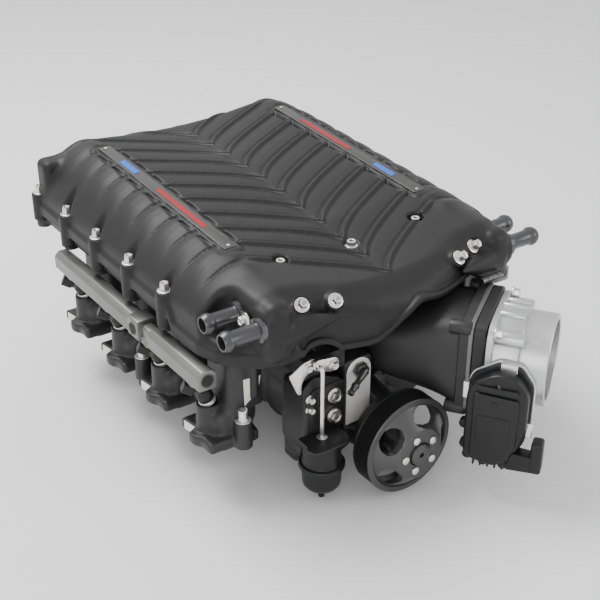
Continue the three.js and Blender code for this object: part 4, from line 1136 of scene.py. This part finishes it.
def build_duct():
    """Duct from the front cover to the throttle, with its square flange and four bosses."""
    # rows: centre x, y, z, heading of the across axis, half width, half height, squareness
    near, far = at_throttle(0, 4, 125), at_throttle(0, 0, 94)
    heading = math.degrees(THETA)
    rows = [
        (42, -176, 79, 0, 57, 26, 5), (42, -190, 79, 0, 57.5, 28, 5), (44, -204, 82, 10, 60, 36, 4),
        (near.x, near.y, near.z, heading, 59, 49, 3.6), (far.x, far.y, far.z, heading, 56, 54, 5),
    ]
    stations = catmull(rows, 9)
    around = 72
    points, faces = [], []
    for wall in (0, 6.5):
        for x, y, z, turn, half_u, half_w, power in stations:
            side = Vector((math.cos(math.radians(turn)), math.sin(math.radians(turn)), 0))
            for k in range(around):
                angle = 2 * math.pi * k / around
                c, s = math.cos(angle), math.sin(angle)
                r = (abs(c) ** power + abs(s) ** power) ** (-1 / power)
                offset = side * ((half_u - wall) * r * c) + UP * ((half_w - wall) * r * s)
                points.append(Vector((x, y, z)) + offset)
    count = len(stations)
    for layer in (0, 1):
        base = layer * count * around
        for i in range(count - 1):
            for k in range(around):
                m = (k + 1) % around
                faces.append((base + i * around + k, base + i * around + m,
                              base + (i + 1) * around + m, base + (i + 1) * around + k))
    for i in (0, count - 1):
        for k in range(around):
            m = (k + 1) % around
            faces.append((i * around + k, i * around + m, (count + i) * around + m, (count + i) * around + k))
    tube = finish_object("duct", points, faces, 60)
    flange = throttle_ring("flange", 80.4, 95, 47, 57.2, 10, 1.2)
    bosses = [
        lathe("boss", disc_profile(8, 24, 1.5), at_throttle(u * 50, w * 50, 106), OUTWARD, 32)
        for u, w in CORNERS
    ]
    place_lower(joined("inlet_duct_shell", [tube, flange] + bosses), ["inlet_duct"])


def throttle_ring(name, s0, s1, bore, half, power, edge=1.0):
    """Square flange with rounded corners round the bore, between two stations s."""
    depth = s1 - s0
    profile = [
        (bore, 0), (half - edge, 0), (half, edge), (half, depth - edge), (half - edge, depth), (bore, depth),
    ]

    def square(angle, radius, h):
        if radius < bore + 1:
            return 1
        return (abs(math.cos(angle)) ** power + abs(math.sin(angle)) ** power) ** (-1 / power)
    return lathe(name, profile, at_throttle(0, 0, s1), OUTWARD, 96, square)


def build_throttle():
    """Flange face, adapter plate, throttle body casting and its four screws."""
    face = throttle_ring("duct_flange_face", 79.6, 84.5, 47, 57.9, 10, 0.6)
    place(face, "machined_aluminium", finish="flange_grey")
    adapter = throttle_ring("throttle_adapter_plate", 66.4, 80, 46.6, 57.0, 9, 1.5)
    place(adapter, "coated_casting", finish="black_bracket", replaces=["throttle_adapter"])

    tube = [
        (46, 0.6), (46.6, 0), (51.2, 0), (52, 0.8), (52, 28), (52.6, 30), (54.6, 31), (55.4, 32.5),
        (55.4, 60), (46, 60),
    ]
    body = [lathe("tube", [(r, 66 - h) for r, h in tube], at_throttle(0, 0, 66), OUTWARD, 112)]
    body.append(throttle_ring("flange", 58, 66, 46, 56, 6, 1.2))
    for u, w, r, start, end in THROTTLE_BOSSES:
        round_boss = disc_profile(r, start - end, min(r * 0.6, 3))
        body.append(lathe("boss", round_boss, at_throttle(u, w, start), OUTWARD, 32))
    body.append(lathe("shaft_boss", disc_profile(16, 20, 6), at_throttle(38, 0, 46), ACROSS, 48))
    body.append(lathe("far_boss", disc_profile(11, 22, 4), at_throttle(-42, 0, 46), -ACROSS, 40))
    body.append(lathe("motor", disc_profile(20, 44, 5), at_throttle(12, -72, 44), ACROSS, 56))
    body.append(side_prism("web", [(62, -84), (62, -20), (28, -20), (28, -84)], 32, 50, 3))
    body.append(side_prism("cover_seat", grown(COVER_OUTLINE, 1.035), 51, 57.4, 1.2))
    place(joined("throttle_body_casting", body), "cast_aluminium", replaces=["throttle_body"])
    screws = [bolt("screw", at_throttle(u * 49, w * 49, 57.8), OUTWARD, 9, 7, 7.5) for u, w in CORNERS]
    place(joined("throttle_screws", screws), "bright_steel")


def grown(outline, factor):
    """Outline scaled about the mean of its points."""
    cs = sum(p[0] for p in outline) / len(outline)
    cw = sum(p[1] for p in outline) / len(outline)
    return [(cs + (s - cs) * factor, cw + (w - cw) * factor) for s, w in outline]


def side_prism(name, outline, u0, u1, bevel, radius=6):
    """Outline of (s, w) pairs extruded across the throttle from u0 to u1."""
    points = round_polygon([(-s, w) for s, w in outline], radius)
    return prism(name, points, at_throttle(u0, 0, 0), OUTWARD, UP, u1 - u0, bevel)


def build_motor_cover():
    """Black cover of the throttle's motor and gears, with its plug and steel clips."""
    panel = grown([(70, -6), (70, -90), (30, -92), (20, -70), (20, -8)], 0.98)
    parts = [
        side_prism("rim", COVER_OUTLINE, 57.8, 63, 1.0),
        side_prism("shell", grown(COVER_OUTLINE, 0.93), 61, 79, 3.5, 9),
        side_prism("panel", panel, 77, 82.5, 2.0, 4),
        side_prism("label_seat", [(64, -34), (64, -74), (28, -74), (28, -34)], 82, 83.3, 0.5, 2),
        side_prism("ledge", [(66, 2), (66, -4), (22, -4), (22, 2)], 78, 83, 1.0, 2),
        side_prism("plug_arm", [(24, -78), (-8, -80), (-8, -98), (30, -100)], 63, 79, 2.5, 4),
        side_prism("plug", [(4, -60), (-9, -60), (-9, -99), (4, -99)], 62, 80, 3.0, 4),
        lathe("dimple", disc_profile(3.2, 1.2, 0.5), at_throttle(82.2, -18, 46), ACROSS, 28),
    ]
    for s, w in ((74, -99), (56, -104), (34, -104), (80, -60), (78, -86)):
        parts.append(lathe("lug", disc_profile(5.5, 9, 1), at_throttle(58, w, s), ACROSS, 24))
    for s in range(66, 33, -8):
        parts.append(side_prism("rib", [(s, -93), (s, -104), (s - 2, -104), (s - 2, -93)], 60, 76, 0.5, 0.5))
    place(joined("throttle_motor_cover_shell", parts), "black_plastic", replaces=["throttle_motor_cover"])
    # clips: the two stations, the two heights and how far out each reaches
    clips = [
        side_prism("clip", [(s1, high), (s1, low), (s0, low), (s0, high)], 56.5, reach, 1.0, 1.5)
        for s0, s1, low, high, reach in ((28, 46, 10, 23, 66), (77, 84, -26, -6, 67), (6, 13, -62, -44, 67))
    ]
    place(joined("cover_clips", clips), "bright_steel")


build_duct()
build_throttle()
build_motor_cover()


# ============================================================ drive pulley
PULLEY_FACE, PULLEY_BACK = -289.0, -262.5
BELT_RIBS, BELT_PITCH = 6, 3.56
HUB_SCREWS, HUB_SCREW_RADIUS = 5, 20.6
# web of the pulley: inner and outer radius, rows of faces along it and faces around
WEB_INNER, WEB_OUTER, WEB_ROWS, WEB_AROUND = 13.9, 52.5, 44, 240


def drive_point(y):
    """Point on the axis of the pulley."""
    return Vector((MALE[0], y, MALE[1]))


def build_pulley():
    """Ribbed belt rim, bright wheel with five windows, hub sleeve and five screws."""
    face = drive_point(PULLEY_FACE)
    back_axis = (0, 1, 0)
    width = PULLEY_BACK - PULLEY_FACE
    first = (width - BELT_RIBS * BELT_PITCH) / 2
    rim = [(50.5, 1.5), (51.5, 0.3), (57, 0), (58, 0.8), (58, first - 0.6)]
    for i in range(BELT_RIBS):
        at = first + i * BELT_PITCH
        rim += [(57.7, at - 0.2), (54.2, at + BELT_PITCH * 0.36)]
        rim += [(54.2, at + BELT_PITCH * 0.64), (57.7, at + BELT_PITCH - 0.6)]
    rim += [(58, width - first + 0.6), (58, width - 0.8), (57.2, width), (53, width)]
    rim += [(52, width - 4), (51, 8)]
    belt_rim = lathe("drive_pulley_rim", rim, face, back_axis, 128)
    place(belt_rim, "black_bracket", "drive_rotor", ["drive_pulley"])
    lip = [(50.8, 1.6), (51.4, -0.5), (57.2, -0.6), (57.9, 0.2), (57.9, 1.6)]
    ring = lathe("ring", lip, face, back_axis, 128)
    place(joined("drive_pulley_wheel", [ring, build_spokes()]), "pulley_coat", "drive_rotor")
    hub = [
        (0, -16), (2.7, -16), (2.9, -21.4), (3.6, -22), (9.5, -22), (12.6, -20.4), (13.2, -18.2), (13.2, -8),
        (26.5, -8), (26.5, 0), (18, 0), (18, 24), (10.4, 24), (10.4, -4.8), (0, -4.8),
    ]
    sleeve = lathe("pulley_hub_sleeve", hub, face, back_axis, 96)
    place(sleeve, "pulley_coat", "drive_rotor", ["pulley_hub"])
    screws = []
    for i in range(HUB_SCREWS):
        angle = math.pi + 2 * math.pi * i / HUB_SCREWS
        spot = face + Vector((HUB_SCREW_RADIUS * math.cos(angle), -17.8, HUB_SCREW_RADIUS * math.sin(angle)))
        screws.append(lathe("screw", disc_profile(4.6, 2.4, 0.8), spot, FORWARD, 36))
    place(joined("pulley_screws", screws), "bright_steel", "drive_rotor")


def build_spokes():
    """Web from the hub plate out to the rim, with five oval windows."""
    rows, around = WEB_ROWS, WEB_AROUND
    reach = WEB_OUTER - WEB_INNER
    fifth = math.radians(72)
    points, faces, alive = [], [], {}
    for side in (0, 1):
        for i in range(rows + 1):
            t = i / rows
            r = WEB_INNER + reach * t
            flare = max(0.0, (r - 30) / 22)
            front = -18 + 20 * min(1.0, flare) ** 1.1
            y = front + (7.0 if side else 0.0) + (2.5 if side else 0) * (1 - t)
            for k in range(around):
                angle = 2 * math.pi * k / around
                x, z = r * math.cos(angle), r * math.sin(angle)
                points.append(drive_point(PULLEY_FACE) + Vector((x, y, z)))
    layer = (rows + 1) * around
    for i in range(rows):
        for k in range(around):
            angle = 2 * math.pi * (k + 0.5) / around
            r = WEB_INNER + reach * (i + 0.5) / rows
            turn = angle % fifth
            turn = min(turn, fifth - turn) * r
            alive[i, k] = ((r - 41) / 9.2) ** 2 + (turn / 15.5) ** 2 > 1
    for (i, k), on in alive.items():
        if not on:
            continue
        m = (k + 1) % around
        a, b = i * around + k, i * around + m
        c, d = (i + 1) * around + m, (i + 1) * around + k
        faces.append((a, b, c, d))
        faces.append((layer + d, layer + c, layer + b, layer + a))
        # close the edge towards each neighbour that is cut away
        neighbours = (
            ((i - 1, k), (a, b)), ((i + 1, k), (c, d)), ((i, (k - 1) % around), (d, a)), ((i, m), (b, c)),
        )
        for other, (p, q) in neighbours:
            if not alive.get(other, False):
                faces.append((p, q, layer + q, layer + p))
    obj = finish_object("web", points, faces, 50)
    bm = bmesh.new()
    bm.from_mesh(obj.data)
    loose = [v for v in bm.verts if not v.link_faces]
    bmesh.ops.delete(bm, geom=loose, context='VERTS')
    rim = [v for v in bm.verts if any(e.calc_face_angle(0) > 0.9 for e in v.link_edges)]
    for _ in range(10):
        bmesh.ops.smooth_vert(bm, verts=rim, factor=0.35, use_axis_x=True, use_axis_y=False, use_axis_z=True)
    bmesh.ops.recalc_face_normals(bm, faces=bm.faces)
    bm.to_mesh(obj.data)
    bm.free()
    return obj


build_pulley()


# ============================================================ fuel rails and injectors
RAIL_X, RAIL_Z = 210, 98
RAIL_HALF = 11.5
# stretches of a rail: first and last y, growth of the section and its chamfer
RAIL_STRETCHES = ((-184, -74, 0.0, 6.0), (-76, -52, -3.5, 3), (-54, -31, 1.0, 2.0), (-33, 165, 0.0, 6.0))


def rail_bar(sign, y0, y1, grow, chamfer):
    """Square bar with two wide chamfers along the top."""
    h = RAIL_HALF + grow
    points = [
        (h, h - chamfer), (h - chamfer, h), (chamfer - h, h), (-h, h - chamfer), (-h, 2 - h), (2 - h, -h),
        (h - 2, -h), (h, 2 - h),
    ]
    outline = [(sign * a, b) for a, b in points]
    return prism("bar", outline, (sign * RAIL_X, y1, RAIL_Z), *FACING, y1 - y0, 0.6, 2)


def build_rail(name, sign):
    """Fuel rail with its four injector cups and two threaded ports."""
    parts = [rail_bar(sign, *stretch) for stretch in RAIL_STRETCHES]
    cup = [(7.7, 34), (9.6, 34), (10.2, 34.8), (10.2, 50), (7.7, 50)]
    for y in PORT_Y:
        foot, _, line = injector_line(sign, y)
        parts.append(lathe("cup", cup, foot, line, 40))
    place(joined(f"fuel_rail_bar_{name}", parts), "rail_aluminium", replaces=[f"fuel_rail_{name}"])
    # threaded ports with a turned lip; a black disc in each mouth is painted shade for the open bore
    spots = (
        ((sign * RAIL_X, -184, RAIL_Z), FORWARD), ((sign * (RAIL_X + 12.5), -42.5, RAIL_Z), (sign, 0, 0)),
    )
    lip = [(6.2, -1), (8.2, -1), (8.2, 0.5), (7.4, 0.9), (6.6, 0.6)]
    ports, bore_shade_discs = [], []
    for spot, axis in spots:
        ports.append(lathe("lip", lip, spot, axis, 44))
        for depth in (0, 0.3, 0.6):
            thread = [(5.9, 0.1 - depth), (6.9, 0.1 - depth), (6.9, 0.35 - depth)]
            ports.append(lathe("thread", thread, spot, axis, 44))
        # painted shade: a flat black disc in the port's mouth stands in for the dark inside of the bore
        bore_shade_discs.append(lathe("bore", disc_profile(6.3, 0.6, 0.1), Vector(spot) + Vector(axis) * 0.1, axis, 40))
    place(joined(f"fuel_ports_{name}", ports), "dark_fitting")
    place(joined(f"fuel_bore_shade_{name}", bore_shade_discs), "rubber")


def build_injector(name, sign, index, y):
    """Injector body with its plug socket, the collar at its foot and the seal at its top."""
    foot, _, line = injector_line(sign, y)
    body = [
        (0, -18), (5.6, -18), (6, -16), (6, 3), (8.6, 4), (9.2, 6), (9.2, 15), (8.4, 16.5), (8.4, 21),
        (9.2, 22.5), (9.2, 25), (6.6, 27), (6.2, 36), (0, 36),
    ]
    parts = [lathe("body", body, foot, line, 36)]
    socket = Vector((sign * 0.78, 0.42, 0.44)).normalized()
    root = foot + line * 14
    parts.append(sweep("neck", [root, root + socket * 9, root + socket * 14], [5.6, 6.2, 6.4], 20))
    u, v, _ = frame_axes(socket)
    parts.append(prism("shroud", rounded_outline(7.6, 6.0, 2.5), root + socket * 11, u, v, 13, 0.8))
    parts.append(prism("key", rounded_outline(3, 1.2, 0.8), root + socket * 10 + UP * 7.4, u, v, 10, 0.4))
    whole = joined(f"injector_body_{name}_{index}", parts)
    place(whole, "black_plastic", replaces=[f"injector_{name}_{index}"])
    collar = [(6.2, 0), (9.7, 0), (9.7, 3.2), (8.9, 4), (6.2, 4)]
    place(lathe(f"injector_collar_{name}_{index}", collar, foot, line, 40), "machined_aluminium")
    seal = [(6.4, 30.4), (8.4, 30.2), (9.2, 31.6), (8.4, 33.2), (6.4, 33.0)]
    place(lathe(f"injector_seal_{name}_{index}", seal, foot, line, 36), "seal_ring")


for side_name, side_sign in SIDES:
    build_rail(side_name, side_sign)
    for port, port_y in enumerate(PORT_Y, 1):
        build_injector(side_name, side_sign, port, port_y)


# ============================================================ bypass valve, linkage and actuator
CAN_X, CAN_Y = -103, -240
# the bypass shaft, x and z, the lever's arm and its rise at rest, and the rod's eye on it
SHAFT_X, SHAFT_Z = -84.5, 98
LEVER_ARM, LEVER_RISE = 19, math.radians(14)
EYE_X = SHAFT_X - LEVER_ARM * math.cos(LEVER_RISE)
EYE_Z = SHAFT_Z + LEVER_ARM * math.sin(LEVER_RISE)


def build_actuator():
    """Vacuum can with its bush, and the rod that bends forward into the lever's eye."""
    x, y = CAN_X, CAN_Y
    can = [
        (0, -65), (2.6, -65), (3.6, -64), (3.6, -60.5), (2.9, -60), (2.9, -52), (4.5, -50), (13, -49.4),
        (18, -47.5), (21.2, -43), (22, -37), (22, -24), (22.6, -22), (25.4, -21), (26, -19.8), (26, -16.6),
        (25.2, -15.4), (22.4, -14.6), (21.6, -13), (21.2, 6), (20.4, 10.5), (18, 12.6), (3.6, 12.9),
        (3.6, 6), (18.6, 6), (18.6, -36), (0, -38),
    ]
    place(lathe("actuator_can_shell", can, (x, y, 0), UP, 96), "black_plastic", replaces=["actuator_can"])
    bush = [(2.9, 14), (7.4, 14), (7.2, 15.4), (5.6, 16.6), (3.4, 17.2), (2.9, 17.2)]
    place(lathe("rod_bush", bush, (x, y, 0), UP, 48), "bright_steel")
    hip = EYE_Z - 6
    path = [(x, y, -12 + 10 * k) for k in range(11)] + [(x, y, hip)]
    for k in range(1, 9):
        a = math.pi / 2 * k / 8
        path.append((x, y + 6 * (1 - math.cos(a)), hip + 6 * math.sin(a)))
    path.append((x, -229, EYE_Z))
    rod = sweep("rod", path, 2.5, 24)
    plate = lathe("plate", disc_profile(10, 2.5, 0.5, -15), (x, y, 0), UP, 32)
    place(joined("actuator_rod_wire", [rod, plate]), "bright_steel", "actuator_rod_body", ["actuator_rod"])


def build_linkage():
    """Lever from the valve shaft to the rod's eye, with the blade, and the stop arm beside it."""
    heading = math.atan2(EYE_Z - SHAFT_Z, EYE_X - SHAFT_X)
    outline = []
    for x, z, radius, start in ((EYE_X, EYE_Z, 6.5, -90), (SHAFT_X, SHAFT_Z, 8.5, 90)):
        for k in range(13):
            a = heading + math.radians(start + 180 * k / 12)
            outline.append((x + radius * math.cos(a), z + radius * math.sin(a)))
    lever = prism("lever", outline, (0, -230, 0), *FACING, 3, 0.5)
    nut = bolt("nut", (SHAFT_X, -233, SHAFT_Z), FORWARD, 8, 4, 5.5)
    shaft = lathe("shaft", disc_profile(3, 53, 0.4), (SHAFT_X, -181, SHAFT_Z), FORWARD, 28)
    blade = lathe("blade", disc_profile(15.5, 2, 0.3), (SHAFT_X, -199, SHAFT_Z - 1), UP, 48)
    lever_set = joined("bypass_lever_set", [lever, nut, shaft, blade])
    place(lever_set, "bright_steel", "bypass_valve", ["bypass_lever", "bypass_blade"])
    arm = [
        (-104, 110), (-120, 108), (-137, 98), (-133, 88), (-126, 72), (-122, 70), (-121, 84), (-116, 92),
        (-104, 96),
    ]
    stop = prism("bypass_stop_arm", round_polygon(arm, 4), (0, -225, 0), *FACING, 2.6, 0.5)
    place(stop, "bright_steel", replaces=["bypass_stop_plate"])
    place(bolt("stop_screw", (-113, -227.4, 101), FORWARD, 7.5, 3, 6), "bright_steel")


def build_bracket():
    """Upright plate, notched shelf and upper plate of the actuator's bracket, with its screws."""
    x, y = CAN_X, CAN_Y
    upright = [(-116, 14), (-116, 58), (-108, 72), (-68, 72), (-66, 66), (-66, 14)]
    shelf = [(-25, -22), (-28, -10), (-24, -6), (-24, 12), (26, 12), (26, -14), (18, -24), (-14, -24)]
    upper = [(-120, 58), (-120, 76), (-108, 86), (-92, 84), (-70, 74), (-70, 58)]
    plates = [
        prism("upright", round_polygon(upright, 3), (0, -228, 0), *FACING, 3, 0.6),
        prism("shelf", round_polygon(shelf, 3), (x, y, 13.2), (1, 0, 0), (0, 1, 0), 3, 0.6),
        prism("upper", round_polygon(upper, 4), (0, -226, 0), *FACING, 3, 0.6),
    ]
    place(joined("actuator_bracket_plate", plates), "black_bracket", replaces=["actuator_bracket"])
    screws = [bolt("screw", (-81, -231, z), FORWARD, 12, 6, 9) for z in (57, 31)]
    place(joined("bracket_screws", screws), "bright_steel")
    side_screws = [bolt("screw", (-112, -229, z), FORWARD, 7, 5, 5.5) for z in (62, 49)]
    place(joined("bracket_side_screws", side_screws), "bright_steel")


def build_vacuum_elbow():
    """Hexagon base in the milled pocket, and the elbow with its hose nipple."""
    base = Vector((-42, -224.6, 73))

    def hexagonal(angle, radius, h):
        return hexagon(angle, radius, h) if radius > 7 else 1
    parts = [lathe("base", disc_profile(9.6, 7.5, 0.8), base, FORWARD, 36, hexagonal)]
    neck = base + Vector((0, -9, 0))
    nipple = Vector((-0.86, -0.38, -0.34)).normalized()
    path = [base + Vector((0, -6, 0)), neck, neck + nipple * 5, neck + nipple * 12]
    parts.append(sweep("elbow", path, [5.5, 5.5, 4.6, 3.8], 24))
    tube = [
        (2, 8), (3.7, 8), (3.7, 18), (4.6, 19.5), (4.6, 22), (3.6, 24), (3.6, 30), (4.1, 31), (3.6, 33),
        (2, 33),
    ]
    parts.append(lathe("nipple", tube, neck, nipple, 32))
    place(joined("vacuum_elbow", parts), "dark_fitting", replaces=["vacuum_fitting"])


build_actuator()
build_linkage()
build_bracket()
build_vacuum_elbow()


# ============================================================ small pieces that stay as modelled in the frame
for finish_name, node_names in {
    "rubber": ("lid_gasket", "shaft_seal"),
    "core_aluminium": ("intercooler_core",),
    "cast_aluminium": ("male_rotor", "female_rotor"),
    "machined_aluminium": ("throttle_blade",),
    "dark_fitting": ("drive_coupling", "vent_tube"),
    "lower_casting": ("bypass_valve_body",),
    "bright_steel": (
        "male_timing_gear", "female_timing_gear", "male_front_bearing", "male_rear_bearing",
        "female_front_bearing", "female_rear_bearing", "input_shaft", "nose_bearing_front",
        "nose_bearing_rear", "throttle_shaft", "throttle_motor",
    ),
}.items():
    for node_name in node_names:
        keep_node(node_name, finish_name)


# ============================================================ stage, lights and camera
def area_light(name, position, target, size, energy, size_y=None):
    """Rectangular lamp that looks at a target; places in metres, energy in watts."""
    data = bpy.data.lights.new(name, 'AREA')
    data.energy = energy
    data.shape = 'RECTANGLE'
    data.size = size
    data.size_y = size_y or size
    light = bpy.data.objects.new(name, data)
    light.location = position
    light.rotation_euler = (Vector(target) - Vector(position)).to_track_quat('-Z', 'Y').to_euler()
    bpy.context.scene.collection.objects.link(light)


def build_stage():
    """Pale floor under the object, a white surround and three soft lamps."""
    bm = bmesh.new()
    bmesh.ops.create_grid(bm, x_segments=1, y_segments=1, size=20)
    mesh = bpy.data.meshes.new("floor")
    bm.to_mesh(mesh)
    bm.free()
    floor = bpy.data.objects.new("floor", mesh)
    floor.location.z = cad_box[0][2] - 0.0005
    bpy.context.scene.collection.objects.link(floor)
    material = bpy.data.materials.new("floor")
    material.use_nodes = True
    shader = material.node_tree.nodes["Principled BSDF"]
    shader.inputs["Base Color"].default_value = (0.80, 0.80, 0.80, 1)
    shader.inputs["Roughness"].default_value = 0.9
    floor.data.materials.append(material)
    world = bpy.data.worlds.new("studio")
    world.use_nodes = True
    world.node_tree.nodes["Background"].inputs["Color"].default_value = (1, 1, 1, 1)
    world.node_tree.nodes["Background"].inputs["Strength"].default_value = 1.05
    bpy.context.scene.world = world
    area_light("key", (-0.5, 0.9, 1.9), (0, 0, 0.1), 1.3, 58, 1.0)
    area_light("front_fill", (-1.3, -1.5, 0.8), (0, -0.1, 0.1), 1.0, 9)
    area_light("side_fill", (1.2, -1.5, 0.9), (0, -0.1, 0.1), 0.8, 9)


def build_camera():
    """Camera at the photograph's viewing angle."""
    data = bpy.data.cameras.new("camera")
    data.sensor_width = 36
    data.lens = 68.36
    camera = bpy.data.objects.new("camera", data)
    camera.location = (-0.7059, -1.0518, 0.7408)
    camera.rotation_euler = Vector((0.506, 0.716, -0.482)).to_track_quat('-Z', 'Y').to_euler()
    bpy.context.scene.collection.objects.link(camera)
    bpy.context.scene.camera = camera


build_stage()
build_camera()
